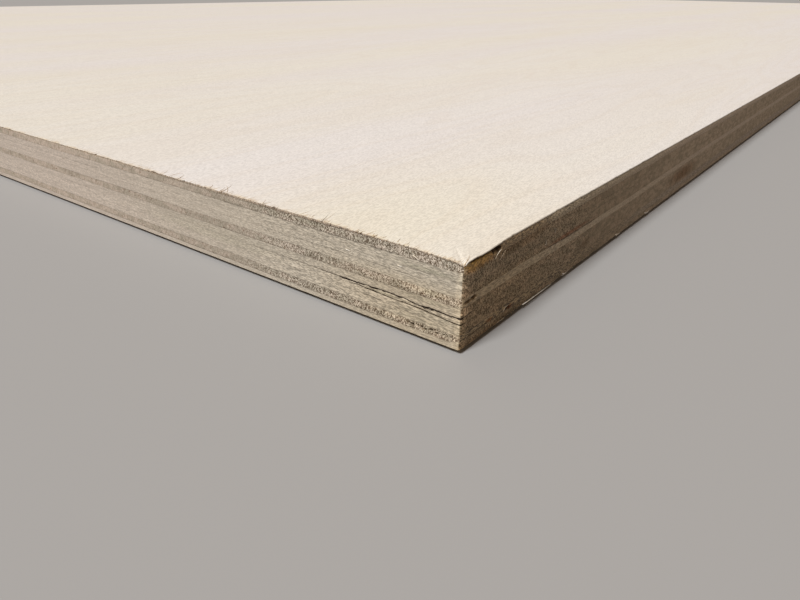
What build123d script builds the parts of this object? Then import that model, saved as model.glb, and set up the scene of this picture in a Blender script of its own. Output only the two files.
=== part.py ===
import os

from build123d import *

# A sheet of plywood lying on its back, in millimetres.
# X runs along the sheet's length, Y across its width and Z up.
# The origin is the middle of the underside.
# The worn corner is the one at low X and low Y: the short edge beside it faces -X
# and the long edge beside it faces -Y.

# Trade size of the sheet
LENGTH = 2440.0
WIDTH = 1220.0

# Thickness of each veneer, from the underside up
BACK_VENEER = 1.3
LOWER_CROSSBAND = 1.9
LOWER_CORE_BOTTOM = 1.8
LOWER_CORE_MIDDLE = 2.0
LOWER_CORE_TOP = 1.8
CENTRE_CROSSBAND = 1.8
UPPER_CORE_BOTTOM = 1.75
UPPER_CORE_MIDDLE = 1.55
UPPER_CORE_TOP = 2.0
UPPER_CROSSBAND = 1.8
FACE_VENEER = 0.3

# The worn corner: every veneer is rounded, and the top two have lost more
CORNER_ROUNDING = 0.35
CROSSBAND_CORNER_LOSS = 0.6
FACE_CORNER_LOSS = 0.9

# Glue line that has opened over the middle veneer of the lower core
OPEN_GLUE_LENGTH = 36.0
OPEN_GLUE_DEPTH = 5.0
OPEN_GLUE_MOUTH = 0.32

# Split that runs down through the same veneer to the corner
SPLIT_LENGTH = 25.5
SPLIT_DEPTH = 4.0
SPLIT_MOUTH = 0.2
SPLIT_DROP = 1.2

# Gap where the centre crossband stops short, on the long edge
CENTRE_GAP_FROM_CORNER = 1.0
CENTRE_GAP_LENGTH = 3.7
CENTRE_GAP_HEIGHT = 0.9
CENTRE_GAP_DEPTH = 3.0

# Hollow under the face veneer, on the long edge
FACE_HOLLOW_FROM_CORNER = 10.4
FACE_HOLLOW_LENGTH = 2.6
FACE_HOLLOW_HEIGHT = 0.9
FACE_HOLLOW_DEPTH = 2.0

# Chip out of the lower crossband, on the long edge
CHIP_FROM_CORNER = 16.4
CHIP_LENGTH = 3.2
CHIP_HEIGHT = 0.8
CHIP_DEPTH = 1.2
CHIP_TOP_BELOW_CORE = 0.45

# Row of torn pits in the lower crossband, on the short edge
PIT_COUNT = 5
PIT_FROM_CORNER = 3.2
PIT_PITCH = 2.1
PIT_RADIUS = 0.34
PIT_DEPTH = 0.9
PIT_ABOVE_BACK = 1.1

# Two pinholes in the upper core, on the long edge
PINHOLE_RADIUS = 0.45
PINHOLE_DEPTH = 2.5
UPPER_PINHOLE_FROM_CORNER = 37.2
LOWER_PINHOLE_FROM_CORNER = 33.0
PINHOLE_BELOW_VENEER_TOP = 0.6

# How far a cutting shape reaches past the surface that it opens
OVERCUT = 1.0

# Planes of the two edges that meet at the worn corner
SHORT_EDGE = -LENGTH / 2
LONG_EDGE = -WIDTH / 2

# The stack, from the underside up
STACK = {
    "back_veneer": BACK_VENEER,
    "lower_crossband": LOWER_CROSSBAND,
    "lower_core_bottom": LOWER_CORE_BOTTOM,
    "lower_core_middle": LOWER_CORE_MIDDLE,
    "lower_core_top": LOWER_CORE_TOP,
    "centre_crossband": CENTRE_CROSSBAND,
    "upper_core_bottom": UPPER_CORE_BOTTOM,
    "upper_core_middle": UPPER_CORE_MIDDLE,
    "upper_core_top": UPPER_CORE_TOP,
    "upper_crossband": UPPER_CROSSBAND,
    "face_veneer": FACE_VENEER,
}


def underside_of(name):
    """Height of a veneer's lower face: the thickness of all the veneers below it."""
    names = list(STACK)
    return sum(STACK[below] for below in names[: names.index(name)])


def topside_of(name):
    return underside_of(name) + STACK[name]


def veneer(name, corner_loss=CORNER_ROUNDING):
    """One full sheet of veneer, with the upright arris at the worn corner rounded off."""
    sheet = Pos(0, 0, underside_of(name)) * Box(
        LENGTH, WIDTH, STACK[name], align=(Align.CENTER, Align.CENTER, Align.MIN)
    )
    upright_arrises = sheet.edges().filter_by(Axis.Z)
    worn_arris = upright_arrises.sort_by(lambda arris: arris.center().X + arris.center().Y)[0]
    return fillet(worn_arris, corner_loss)


def corner_gap(length, depth, corner_low, corner_high, far_height):
    """Tapering gap that is widest at the worn corner.

    Its mouth on the short edge narrows to nothing at the given length, and inside
    the sheet it closes at the given depth along the long edge.
    """
    outside = SHORT_EDGE - OVERCUT
    beyond = LONG_EDGE - OVERCUT
    mouth = make_face(
        Polyline(
            (outside, beyond, corner_low),
            (outside, beyond, corner_high),
            (outside, LONG_EDGE + length, far_height),
            close=True,
        )
    )
    closes_at = Vertex(SHORT_EDGE + depth, beyond, corner_low)
    return loft([mouth, closes_at], ruled=True)


def long_edge_hollow(from_corner, length, height, depth, centre_height):
    """Hollow with round ends, sunk into the long edge."""
    middle = SHORT_EDGE + from_corner + length / 2
    inward = Plane(origin=(middle, LONG_EDGE - OVERCUT, centre_height), x_dir=(1, 0, 0), z_dir=(0, 1, 0))
    return extrude(inward * SlotOverall(length, height), depth + OVERCUT)


def pointed_hole(mouth, inward, radius, depth):
    """Round hole that narrows to a point, with its mouth centred on an edge of the sheet."""
    reach = depth + OVERCUT
    outer_end = Plane(origin=mouth, z_dir=inward).offset(-OVERCUT)
    return outer_end * Cone(radius * reach / depth, 0, reach, align=(Align.CENTER, Align.CENTER, Align.MIN))


def long_edge_pinhole(from_corner, height):
    mouth = (SHORT_EDGE + from_corner, LONG_EDGE, height)
    return pointed_hole(mouth, (0, 1, 0), PINHOLE_RADIUS, PINHOLE_DEPTH)


def short_edge_pit(from_corner, height):
    mouth = (SHORT_EDGE, LONG_EDGE + from_corner, height)
    return pointed_hole(mouth, (1, 0, 0), PIT_RADIUS, PIT_DEPTH)


def make_lower_crossband():
    name = "lower_crossband"
    sheet = veneer(name)
    pit_height = underside_of(name) + PIT_ABOVE_BACK
    for index in range(PIT_COUNT):
        sheet -= short_edge_pit(PIT_FROM_CORNER + index * PIT_PITCH, pit_height)
    chip_height = topside_of(name) - CHIP_TOP_BELOW_CORE - CHIP_HEIGHT / 2
    sheet -= long_edge_hollow(CHIP_FROM_CORNER, CHIP_LENGTH, CHIP_HEIGHT, CHIP_DEPTH, chip_height)
    return sheet


def make_lower_core_middle():
    """The veneer that has let go: an open glue line on top and a split through it."""
    name = "lower_core_middle"
    top = topside_of(name)
    sheet = veneer(name)
    sheet -= corner_gap(OPEN_GLUE_LENGTH, OPEN_GLUE_DEPTH, top - OPEN_GLUE_MOUTH, top + OVERCUT, top)
    split_at_corner = top - SPLIT_DROP
    sheet -= corner_gap(
        SPLIT_LENGTH, SPLIT_DEPTH, split_at_corner, split_at_corner + SPLIT_MOUTH, top - OPEN_GLUE_MOUTH / 2
    )
    return sheet


def make_centre_crossband():
    name = "centre_crossband"
    gap_height = (underside_of(name) + topside_of(name)) / 2
    return veneer(name) - long_edge_hollow(
        CENTRE_GAP_FROM_CORNER, CENTRE_GAP_LENGTH, CENTRE_GAP_HEIGHT, CENTRE_GAP_DEPTH, gap_height
    )


def make_upper_core_bottom():
    name = "upper_core_bottom"
    hole_height = topside_of(name) - PINHOLE_BELOW_VENEER_TOP
    return veneer(name) - long_edge_pinhole(LOWER_PINHOLE_FROM_CORNER, hole_height)


def make_upper_core_middle():
    name = "upper_core_middle"
    hole_height = topside_of(name) - PINHOLE_BELOW_VENEER_TOP
    return veneer(name) - long_edge_pinhole(UPPER_PINHOLE_FROM_CORNER, hole_height)


def make_upper_crossband():
    name = "upper_crossband"
    hollow_height = topside_of(name) - FACE_HOLLOW_HEIGHT / 2
    return veneer(name, CROSSBAND_CORNER_LOSS) - long_edge_hollow(
        FACE_HOLLOW_FROM_CORNER, FACE_HOLLOW_LENGTH, FACE_HOLLOW_HEIGHT, FACE_HOLLOW_DEPTH, hollow_height
    )


def make_sheet():
    """Every veneer of the sheet, by the name of its node."""
    plies = {name: veneer(name) for name in STACK}
    plies["lower_crossband"] = make_lower_crossband()
    plies["lower_core_middle"] = make_lower_core_middle()
    plies["centre_crossband"] = make_centre_crossband()
    plies["upper_core_bottom"] = make_upper_core_bottom()
    plies["upper_core_middle"] = make_upper_core_middle()
    plies["upper_crossband"] = make_upper_crossband()
    plies["face_veneer"] = veneer("face_veneer", FACE_CORNER_LOSS)
    return plies


os.makedirs("parts", exist_ok=True)
for name, solid in make_sheet().items():
    export_step(solid, "parts/" + name + ".step")
    print(name, "from", round(underside_of(name), 2), "to", round(topside_of(name), 2), "mm")
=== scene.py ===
# %% [markdown]
# # A sheet of plywood, seen at its worn corner
#
# Plywood is a stack of thin veneers, glued face to face, each peeled from a log like paper off a roll.
# From far away a sheet is a flat board. Close to, all of its character is in two places: the pale face,
# which is almost one colour, and the sawn edges, where every veneer shows either the side of its fibres
# (pale and smooth) or their cut ends (dark and rough).
#
# The frame that is loaded first holds one flat solid for each veneer. The lesson replaces each of them by
# a mesh of the same size whose edges are torn, split and rounded, and gives it a finish made of nodes.

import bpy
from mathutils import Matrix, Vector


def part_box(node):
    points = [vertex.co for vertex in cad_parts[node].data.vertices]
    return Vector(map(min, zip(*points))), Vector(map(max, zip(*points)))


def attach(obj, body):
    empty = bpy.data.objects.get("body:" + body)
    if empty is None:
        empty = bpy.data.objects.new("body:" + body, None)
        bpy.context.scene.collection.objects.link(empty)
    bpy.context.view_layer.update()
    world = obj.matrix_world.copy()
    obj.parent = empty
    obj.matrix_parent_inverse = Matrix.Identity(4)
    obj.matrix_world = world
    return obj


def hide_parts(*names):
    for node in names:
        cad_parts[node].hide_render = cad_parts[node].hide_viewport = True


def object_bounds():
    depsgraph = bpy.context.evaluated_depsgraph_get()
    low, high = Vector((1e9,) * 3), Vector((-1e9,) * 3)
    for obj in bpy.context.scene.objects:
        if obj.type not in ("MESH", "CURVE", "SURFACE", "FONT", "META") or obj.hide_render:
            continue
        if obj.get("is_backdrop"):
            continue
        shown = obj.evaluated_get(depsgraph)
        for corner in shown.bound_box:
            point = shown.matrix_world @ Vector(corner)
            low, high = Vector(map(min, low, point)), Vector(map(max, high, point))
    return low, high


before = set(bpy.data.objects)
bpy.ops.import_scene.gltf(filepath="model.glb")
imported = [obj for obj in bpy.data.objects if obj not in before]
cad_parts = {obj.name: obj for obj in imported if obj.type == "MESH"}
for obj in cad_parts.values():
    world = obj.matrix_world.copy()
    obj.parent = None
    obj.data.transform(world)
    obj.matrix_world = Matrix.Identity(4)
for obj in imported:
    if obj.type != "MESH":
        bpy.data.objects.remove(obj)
cad_low, cad_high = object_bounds()
print("frame from", tuple(cad_low), "to", tuple(cad_high))

# %% Tools and units
import math

import bpy
import numpy as np
from mathutils import Matrix, Vector
from mathutils.geometry import delaunay_2d_cdt

MM = 0.001
print("millimetres in one unit of Blender's length:", round(1 / MM))

# %% Read the stack of veneers from the frame
stack = sorted(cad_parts, key=lambda node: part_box(node)[0].z)
levels = [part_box(node)[0].z / MM for node in stack] + [cad_high.z / MM]
FACE = stack[-1]
LENGTH = (cad_high.x - cad_low.x) / MM
WIDTH = (cad_high.y - cad_low.y) / MM
SAW_ALLOWANCE = 0.3
WORN_CORNER = (cad_low.x / MM + SAW_ALLOWANCE, cad_low.y / MM + SAW_ALLOWANCE, 0.0)
for node, low, high in zip(stack, levels, levels[1:]):
    print(f"{node}: {low:.2f} to {high:.2f} mm")

# %% [markdown]
# ## The camera
#
# The sheet was looked at from a hand's width away, a little above it and just outside its corner, with
# the wide lens of a telephone. The place of the eye is given from the foot of the worn corner. A camera
# could be aimed with a Track To constraint, but three angles say exactly how it was held.

# %% Place the camera
EYE_FROM_CORNER = Vector((-87.9, -53.3, 61.4))
TURN, DIP, TILT = math.radians(52.54), math.radians(26.45), math.radians(-0.69)
LENS, FILM_WIDTH, NEAREST_SEEN = 28.66, 36.0, 0.005


def put_in_scene(name, data):
    """A new object in the scene that shows a lens, a lamp or a mesh."""
    thing = bpy.data.objects.new(name, data)
    bpy.context.scene.collection.objects.link(thing)
    return thing


forward = Vector((math.cos(DIP) * math.sin(TURN), math.cos(DIP) * math.cos(TURN), -math.sin(DIP)))
level_right = Vector((math.cos(TURN), -math.sin(TURN), 0.0))
level_down = forward.cross(level_right)
right = level_right * math.cos(TILT) + level_down * math.sin(TILT)
up = level_right * math.sin(TILT) - level_down * math.cos(TILT)
held = Matrix((right, up, -forward)).transposed().to_4x4()
held.translation = (Vector(WORN_CORNER) + EYE_FROM_CORNER) * MM

lens = bpy.data.cameras.new("camera")
lens.lens = LENS
lens.sensor_width = FILM_WIDTH
lens.clip_start = NEAREST_SEEN
camera = put_in_scene("camera", lens)
camera.matrix_world = held
bpy.context.scene.camera = camera
print("eye", [round(c, 4) for c in held.translation])

# %% [markdown]
# ## Light and floor
#
# One broad soft light comes over the sheet from the far left, so the short edge is lit, the long edge is
# in shade and the face is brightest. A sun lamp with a wide angle stands for a large soft box: it is as
# bright at the far end of the sheet as at the near one. A weak warm surround fills the shade, and looks
# pale grey where it is seen itself, behind the floor.

# %% Light the sheet
LIGHT_FROM = Vector((-0.62, 0.03, 0.85))
LIGHT_STRENGTH, LIGHT_SPREAD = 3.36, math.radians(18)
LIGHT_COLOUR = (0.98, 1.0, 1.03)
FILL_COLOUR, FILL_STRENGTH = (1.0, 0.74, 0.54, 1.0), 0.22
SEEN_COLOUR, SEEN_STRENGTH = (0.92, 0.91, 0.89, 1.0), 0.5

lamp = bpy.data.lights.new("soft_light", "SUN")
lamp.energy = LIGHT_STRENGTH
lamp.angle = LIGHT_SPREAD
lamp.color = LIGHT_COLOUR
soft_light = put_in_scene("soft_light", lamp)
soft_light.rotation_euler = LIGHT_FROM.to_track_quat("Z", "Y").to_euler()

surround = bpy.data.worlds.new("surround")
bpy.context.scene.world = surround
surround.use_nodes = True
sky = surround.node_tree
fill = sky.nodes["Background"]
fill.inputs["Color"].default_value = FILL_COLOUR
fill.inputs["Strength"].default_value = FILL_STRENGTH
seen = sky.nodes.new("ShaderNodeBackground")
seen.inputs["Color"].default_value = SEEN_COLOUR
seen.inputs["Strength"].default_value = SEEN_STRENGTH
seen_or_fill = sky.nodes.new("ShaderNodeMixShader")
seen_itself = sky.nodes.new("ShaderNodeLightPath").outputs["Is Camera Ray"]
sky.links.new(seen_itself, seen_or_fill.inputs["Fac"])
sky.links.new(fill.outputs["Background"], seen_or_fill.inputs[1])
sky.links.new(seen.outputs["Background"], seen_or_fill.inputs[2])
sky.links.new(seen_or_fill.outputs["Shader"], sky.nodes["World Output"].inputs["Surface"])
bpy.context.scene.view_settings.view_transform = "Standard"
print("light from", [round(c, 2) for c in LIGHT_FROM.normalized()])

# %% [markdown]
# A sheet never touches a floor all along its edge: it rests on a few high spots, and a thin gap stays dark.
# The floor is set that much too low, which draws the same dark line under the edge.

# %% Lay the floor
FLOOR_SIZE, FLOOR_DROP = 40.0, 1.0 * MM
FLOOR_COLOUR, FLOOR_ROUGHNESS = (0.38, 0.37, 0.355, 1.0), 0.8


def new_finish(name):
    """A new material. Returns it with its node tree and its shader's inputs."""
    finish = bpy.data.materials.new(name)
    finish.use_nodes = True
    return finish, finish.node_tree, finish.node_tree.nodes["Principled BSDF"].inputs


half = FLOOR_SIZE / 2
floor_plan = ((-half, -half), (half, -half), (half, half), (-half, half))
floor_mesh = bpy.data.meshes.new("floor")
floor_mesh.from_pydata([(x, y, -FLOOR_DROP) for x, y in floor_plan], [], [(0, 1, 2, 3)])
floor_finish, _, floor_shader = new_finish("pale floor")
floor_shader["Base Color"].default_value = FLOOR_COLOUR
floor_shader["Roughness"].default_value = FLOOR_ROUGHNESS
floor_mesh.materials.append(floor_finish)
floor = put_in_scene("floor", floor_mesh)
floor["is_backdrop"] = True
print(f"floor {FLOOR_DROP / MM} mm under the sheet")

# %% [markdown]
# ## Repeatable unevenness
#
# Wood is never the same twice, but a script has to give the same sheet each time it runs. So nothing
# here draws random numbers in a sequence. Each grid point of an endless net has its own fixed number,
# worked out from its position, and the unevenness is read between the points.

# %% A net of fixed random numbers
MIX_U, MIX_V, MIX_SEED = 73856093, 19349663, 83492791
STIR, STIR_ADD, STIR_END, STIR_SHIFT, KEEP_BITS = 15731, 789221, 1376312589, 13, 0x7FFFFFFF


def net_number(u, v, seed):
    """A number from 0 to 1 that belongs to whole-numbered point (u, v) of net number seed."""
    n = (u.astype(np.int64) * MIX_U) ^ (v.astype(np.int64) * MIX_V) ^ (seed * MIX_SEED)
    n = (n ^ (n >> STIR_SHIFT)) & KEEP_BITS
    return ((n * (n * n * STIR + STIR_ADD) + STIR_END) & KEEP_BITS) / KEEP_BITS


def gently(t):
    """Turns an even walk from 0 to 1 into one that starts and stops gently."""
    return t * t * (3 - 2 * t)


def uneven(u, v, seed):
    """Smooth unevenness from -1 to 1, with hills about one unit of u and v across."""
    u, v = np.broadcast_arrays(np.asarray(u, float), np.asarray(v, float))
    i, j = np.floor(u), np.floor(v)
    a, b = gently(u - i), gently(v - j)
    low = net_number(i, j, seed) * (1 - a) + net_number(i + 1, j, seed) * a
    high = net_number(i, j + 1, seed) * (1 - a) + net_number(i + 1, j + 1, seed) * a
    return (low * (1 - b) + high * b) * 2 - 1


print("unevenness", uneven(np.array([0.3, 7.7]), np.array([0.1, 2.2]), 5).round(3))

# %% Ways to use the net
MOUND_STEEPNESS = 1.5


def uneven_line(where, reach, seed):
    """Unevenness along one line, with hills about reach across."""
    return uneven(where / reach, 0 * where, seed)


def uneven_plan(path, reach, seed):
    """Unevenness over the plan of the sheet, read at the stations of a path."""
    return uneven(path["x"] / reach, path["y"] / reach, seed)


def as_share(unevenness):
    """Moves unevenness from the range -1 to 1 to the range 0 to 1."""
    return 0.5 + 0.5 * unevenness


def rise(x, start, end):
    """Smooth step: 0 before start, 1 after end."""
    return gently(np.clip((x - start) / (end - start), 0, 1))


def between(x, opens, closes):
    """Rises from 0 to 1 over the pair of values opens, and falls back over the pair closes."""
    return rise(x, *opens) * (1 - rise(x, *closes))


def mound(distance):
    """1 at the middle of a hollow or bump, falling smoothly to 0 at distance 1."""
    return np.clip(1 - distance**2, 0, 1) ** MOUND_STEEPNESS


print("a mound", mound(np.array([0.0, 0.5, 1.0])).round(3))

# %% [markdown]
# ## Stations round the rim
#
# Every veneer is a loop of wall with a lid above and below. The wall is cut into stations. They are a
# fifth of a millimetre apart at the worn corner, where the camera is, and further and further apart away
# from it, which puts the detail where it is seen for a small number of faces. The upright corner is worn
# round, by a different radius in each veneer, because a soft veneer wears faster.
#
# The saw left the edge a hair's breadth inside the sheet's full size, so torn fibres can stand out from
# the wall and still not pass that size.

# %% Space the stations
FINE_STEP, FINE_REACH = 0.2, 45.0
CORNER_REACH, CORNER_STATIONS = 1.4, 14
PLAIN_RADIUS, CORNER_RADIUS = 0.6, {"upper_crossband": 0.75, "face_veneer": 0.9}


def distances(reach):
    """Distances from the corner: even steps at first, then steps that grow with the distance."""
    near = np.arange(CORNER_REACH, FINE_REACH, FINE_STEP)
    count = int(math.log(reach / FINE_REACH) * FINE_REACH / FINE_STEP)
    far = FINE_REACH * (reach / FINE_REACH) ** (np.arange(count) / count)
    return np.concatenate([near, far])


def round_corner(radius):
    """Places and outward directions round the worn corner, from the short edge to the long one."""
    straight = CORNER_REACH - radius
    run = np.linspace(0, 2 * straight + radius * math.pi / 2, CORNER_STATIONS + 2)[1:-1]
    turned = np.clip((run - straight) / radius, 0, math.pi / 2)
    out_x, out_y = -np.cos(turned), -np.sin(turned)
    x = radius * (1 + out_x) + np.clip(run - straight - radius * math.pi / 2, 0, None)
    y = radius * (1 + out_y) + np.clip(straight - run, 0, None)
    return x, y, out_x, out_y


print("stations round the corner:", len(round_corner(PLAIN_RADIUS)[0]))

# %% Walk round the rim
COARSE_STEP = 9.0
SAWN_LENGTH, SAWN_WIDTH = LENGTH - 2 * SAW_ALLOWANCE, WIDTH - 2 * SAW_ALLOWANCE
SHORT_EDGE, LONG_EDGE, FAR_EDGES = 0, 1, 2
FAR_AROUND = 1e5


def side_path(x, y, out_x, out_y, side):
    """One stretch of the loop as rows of x, y, outward direction and side."""
    return np.stack(np.broadcast_arrays(x, y, out_x, out_y, side)).astype(float)


def walk_round(radius):
    """The stations of one veneer, anticlockwise from above. Distances are from the worn corner."""
    x, y, out_x, out_y = round_corner(radius)
    on_long = np.where(x >= y, LONG_EDGE, SHORT_EDGE)
    up_far = np.arange(0, SAWN_WIDTH, COARSE_STEP)
    back_far = SAWN_LENGTH - np.arange(0, SAWN_LENGTH, COARSE_STEP)
    x, y, out_x, out_y, side = np.concatenate([
        side_path(x, y, out_x, out_y, on_long),
        side_path(distances(SAWN_LENGTH), 0, 0, -1, LONG_EDGE),
        side_path(SAWN_LENGTH, up_far, 1, 0, FAR_EDGES),
        side_path(back_far, SAWN_WIDTH, 0, 1, FAR_EDGES),
        side_path(0, distances(SAWN_WIDTH)[::-1], -1, 0, SHORT_EDGE),
    ], axis=1)
    around = np.where(side == SHORT_EDGE, -y, np.where(side == LONG_EDGE, x, FAR_AROUND))
    return {"x": x, "y": y, "out_x": out_x, "out_y": out_y, "around": around, "far": np.abs(around)}


print("stations in one loop:", len(walk_round(PLAIN_RADIUS)["x"]))

# %% [markdown]
# ## Where the glue lines run
#
# Peeled veneers vary a little in thickness, so the glue lines wander by a tenth of a millimetre. Near the
# damaged corner some run well off their level. Each is given by points along the two edges that the
# camera sees: the distance is negative on the short edge and positive on the long one. A glue line goes
# by the name of the veneer below it.
#
# The same is done for how open a line is. A tight line is a faint line of dark glue. An open one is painted
# black: glue colour and painted shade in the gap.

# %% Courses of the glue lines
JOINT_DRIFT = {
    "back_veneer": (
        (-400, -0.1), (-20, -0.2), (-3, -0.2), (-1.4, 0.2), (0, 0.6), (3, 0.8), (11, 0.6), (26, 0),
    ),
    "lower_crossband": ((-400, -0.15), (-20, -0.3), (-2, -0.3), (0, 0)),
    "lower_core_bottom": ((-23, 0), (-17.6, -0.36), (-8.7, -0.64), (0, -0.9), (6, 0.1), (12, 0.3), (22, 0)),
    "lower_core_middle": (
        (-32, 0), (-27, 0), (-23, 0.06), (-20, 0.2), (-15, 0.22), (-13, 0.14), (-11, -0.14), (-9, -0.24),
        (-7, -0.06), (-5, -0.16), (-3, -0.36), (0, -0.26), (6, 0),
    ),
    "lower_core_top": ((2, 0), (24, -0.2), (45, -0.8), (90, -0.8), (150, -0.2), (400, 0)),
    "centre_crossband": ((2, 0), (24, -0.25), (45, -0.85), (90, -0.85), (150, -0.2), (400, 0)),
    "upper_core_top": ((-400, -0.1), (-60, -0.25), (-3, -0.2), (0, 0)),
    "upper_crossband": ((-110, -0.1), (-70, -0.2), (-50, -0.3), (-32, -0.22), (-22, 0), (0, 0)),
}
FACE_SAG = (
    (-400, 0), (-120, -0.1), (-90, -0.16), (-60, -0.2), (-30, -0.1), (-20, -0.16), (-12, -0.12), (-5, -0.26),
    (-2, -0.3), (-1, -0.5), (0, -1.0), (1, -0.42), (3, -0.2), (4.2, -0.16), (6, -0.32), (8.5, -0.28),
    (12, -0.06), (15, 0),
)
print("drifting joints:", ", ".join(JOINT_DRIFT))

# %% How open the glue lines are
JOINT_OPENNESS = {
    "back_veneer": (
        (-150, 0.3), (-90, 0.7), (-40, 0.7), (-20, 0.9), (-14, 0.7), (-9, 0.15), (-5, 0.15), (0, 0.9),
        (12, 0.8), (20, 0.5), (30, 0.2),
    ),
    "lower_crossband": ((-100, 0.2), (-70, 0.5), (-30, 0.5), (-15, 0.2)),
    "lower_core_bottom": (
        (-28, 0.2), (-22, 0.9), (-16, 0.9), (-7, 0.6), (0, 0.3), (7, 0.9), (16, 0.9), (20, 0.1),
    ),
    "lower_core_middle": ((-75, 0.1), (-55, 0.6), (-38, 1.2), (-30, 1.8), (3, 1.8), (6, 0.2)),
    "centre_crossband": ((30, 0.1), (35, 1.2), (57, 1.2), (64, 0.3)),
    "upper_core_bottom": ((-60, 0.2), (-35, 0.6), (-12, 0.5), (-4, 0.1)),
    "upper_core_middle": ((-30, 0.1), (-12, 0.5), (0, 0.7), (1, 0.1)),
    "lower_core_top": ((-150, 0.2), (-60, 0.5), (-8, 0.6), (-3, 0.2), (0, 0)),
    "upper_core_top": ((-140, 0.3), (-90, 0.7), (-12, 0.9), (-5, 0.3)),
    "upper_crossband": (
        (-110, 0.1), (-60, 0.4), (-40, 0.9), (-8, 0.8), (-4, 0.5), (-1.5, 1.2), (3, 1.5), (13, 1.5),
        (15, 0.5), (60, 0.7),
    ),
}
NOTHING = ((0, 0),)


def along(points, around):
    """Values between points of (distance round the corner, value)."""
    where, value = zip(*points)
    return np.interp(around, where, value)


print("joints that open:", ", ".join(JOINT_OPENNESS))

# %% Let the glue lines wander, drift and open
WANDER, WANDER_REACH, WANDER_SEED = 0.07, 16.0, 40
SLOW_WANDER, SLOW_REACH, SLOW_SEED = 0.11, 130.0, 60
JAGGED, JAGGED_REACH, JAGGED_SEED = 0.06, 0.45, 70
FREE_THICKNESS = 1.5
PATCHY_REACH, PATCHY_SEED, PATCHY_LEAST, PATCHY_MORE = 2.5, 80, 0.55, 0.45
TIGHT_LINE, TIGHT_LEAST, TIGHT_MORE, TIGHT_RANGE = 0.22, 0.4, 1.6, (0.1, 0.7)
TIGHT_REACH, TIGHT_SEED = 22.0, 90


def joint_height(index, path):
    """Height of the joint under veneer number index, or of the top of the sheet."""
    sag = along(FACE_SAG, path["around"])
    if index == 0:
        return np.full_like(path["x"], levels[index])
    if index == len(stack):
        return levels[index] + sag
    thinnest = min(levels[index] - levels[index - 1], levels[index + 1] - levels[index])
    quick = WANDER * uneven_plan(path, WANDER_REACH, WANDER_SEED + index)
    slow = SLOW_WANDER * uneven_plan(path, SLOW_REACH, SLOW_SEED + index)
    jagged = JAGGED * uneven_plan(path, JAGGED_REACH, JAGGED_SEED + index)
    height = levels[index] + min(1.0, thinnest / FREE_THICKNESS) * (quick + slow + jagged)
    height = height + along(JOINT_DRIFT.get(stack[index - 1], NOTHING), path["around"])
    return height + sag if stack[index] == FACE else height


def joint_darkness(index, path):
    """How open and dark the joint under veneer number index is, from 0 to about 1: dark glue, and painted
    shade where it is open.
    """
    if index in (0, len(stack)):
        return np.zeros_like(path["x"])
    patchy = as_share(uneven_plan(path, PATCHY_REACH, PATCHY_SEED + index))
    faint = rise(uneven_plan(path, TIGHT_REACH, TIGHT_SEED + index), *TIGHT_RANGE)
    faint = TIGHT_LINE * (TIGHT_LEAST + TIGHT_MORE * faint)
    marked = along(JOINT_OPENNESS.get(stack[index - 1], NOTHING), path["around"])
    return np.maximum(faint, marked) * (PATCHY_LEAST + PATCHY_MORE * patchy)


print("joints:", len(stack) - 1)

# %% [markdown]
# ## Relief of the sawn wood
#
# A saw leaves two very different surfaces. Where it cuts across the fibres (end grain) it leaves a rough
# field of open pores, with slanting lathe checks: the cracks made when the veneer was bent off the log.
# Where it cuts along them (long grain) it leaves a smooth wall with a few long shallow furrows.
#
# Relief this fine is often left to a bump map. Here it is in the mesh too, because the corner is seen
# from so close that the edge's outline shows it.

# %% Relief functions
GRAIN_ALONG_X = {"face_veneer", "upper_crossband", "centre_crossband", "lower_crossband"}
PORE_SIZE, PORE_DEPTH = 0.32, 0.07
CHECK_SPACING, CHECK_SLANT, CHECK_DEPTH = 0.9, 0.3, 0.035
CHECK_TALL, CHECK_LONG, CHECK_WIDTH = 1.6, 9.0, 0.22
TORN_SIZE, TORN_TALL, TORN_DEPTH, TORN_RANGE = 1.3, 1.1, 0.05, (0.25, 0.8)
TORN_LEAST, TORN_MORE = 0.4, 0.6
FURROW_SPACING, FURROW_LENGTH, FURROW_DEPTH, FURROW_WIDTH = 0.36, 11.0, 0.022, 0.15
BOW, BOW_LENGTH, BOW_TALL, SOFT_SHARE = 0.06, 17.0, 3.0, 0.5
NIBBLE_REACH, NIBBLE_TALL, NIBBLE_SEED = (0.3, 2.2), 0.7, 301
NIBBLE_LEAST, NIBBLE_MORE, NIBBLE_RANGE = 0.03, 0.16, (0.35, 1.0)


def ridge(value, width):
    """1 where a value from -1 to 1 crosses zero, falling to 0 at width on either side: a thin line."""
    return np.clip(1 - np.abs(value) / width, 0, 1)


def end_grain_relief(run, height, seed):
    """Depth of the rough surface left by a cut across the fibres."""
    pores = as_share(uneven(run / PORE_SIZE, height / PORE_SIZE, seed))
    slanted = (run + CHECK_SLANT * height) / CHECK_SPACING
    checks = ridge(uneven(slanted, height / CHECK_TALL + run / CHECK_LONG, seed + 1), CHECK_WIDTH)
    torn = rise(uneven(run / TORN_SIZE, height / TORN_TALL, seed + 2), *TORN_RANGE)
    return PORE_DEPTH * pores + CHECK_DEPTH * checks + TORN_DEPTH * torn * (TORN_LEAST + TORN_MORE * pores)


def long_grain_relief(run, height, seed):
    """Depth of the furrows left by a cut along the fibres."""
    bowed = height + BOW * uneven(run / BOW_LENGTH, height / BOW_TALL, seed)
    soft = as_share(uneven(run / FURROW_LENGTH, bowed / FURROW_SPACING, seed + 1))
    furrow = ridge(uneven(run / (2 * FURROW_LENGTH), bowed / FURROW_SPACING, seed + 2), FURROW_WIDTH)
    return FURROW_DEPTH * (SOFT_SHARE * soft + furrow)


def corner_nibbles(path, height):
    """Small losses along the upright corner, where the sheet was knocked."""
    near = 1 - rise(path["far"], *NIBBLE_REACH)
    bite = rise(as_share(uneven_line(height, NIBBLE_TALL, NIBBLE_SEED)), *NIBBLE_RANGE)
    return near * (NIBBLE_LEAST + NIBBLE_MORE * bite)


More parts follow.
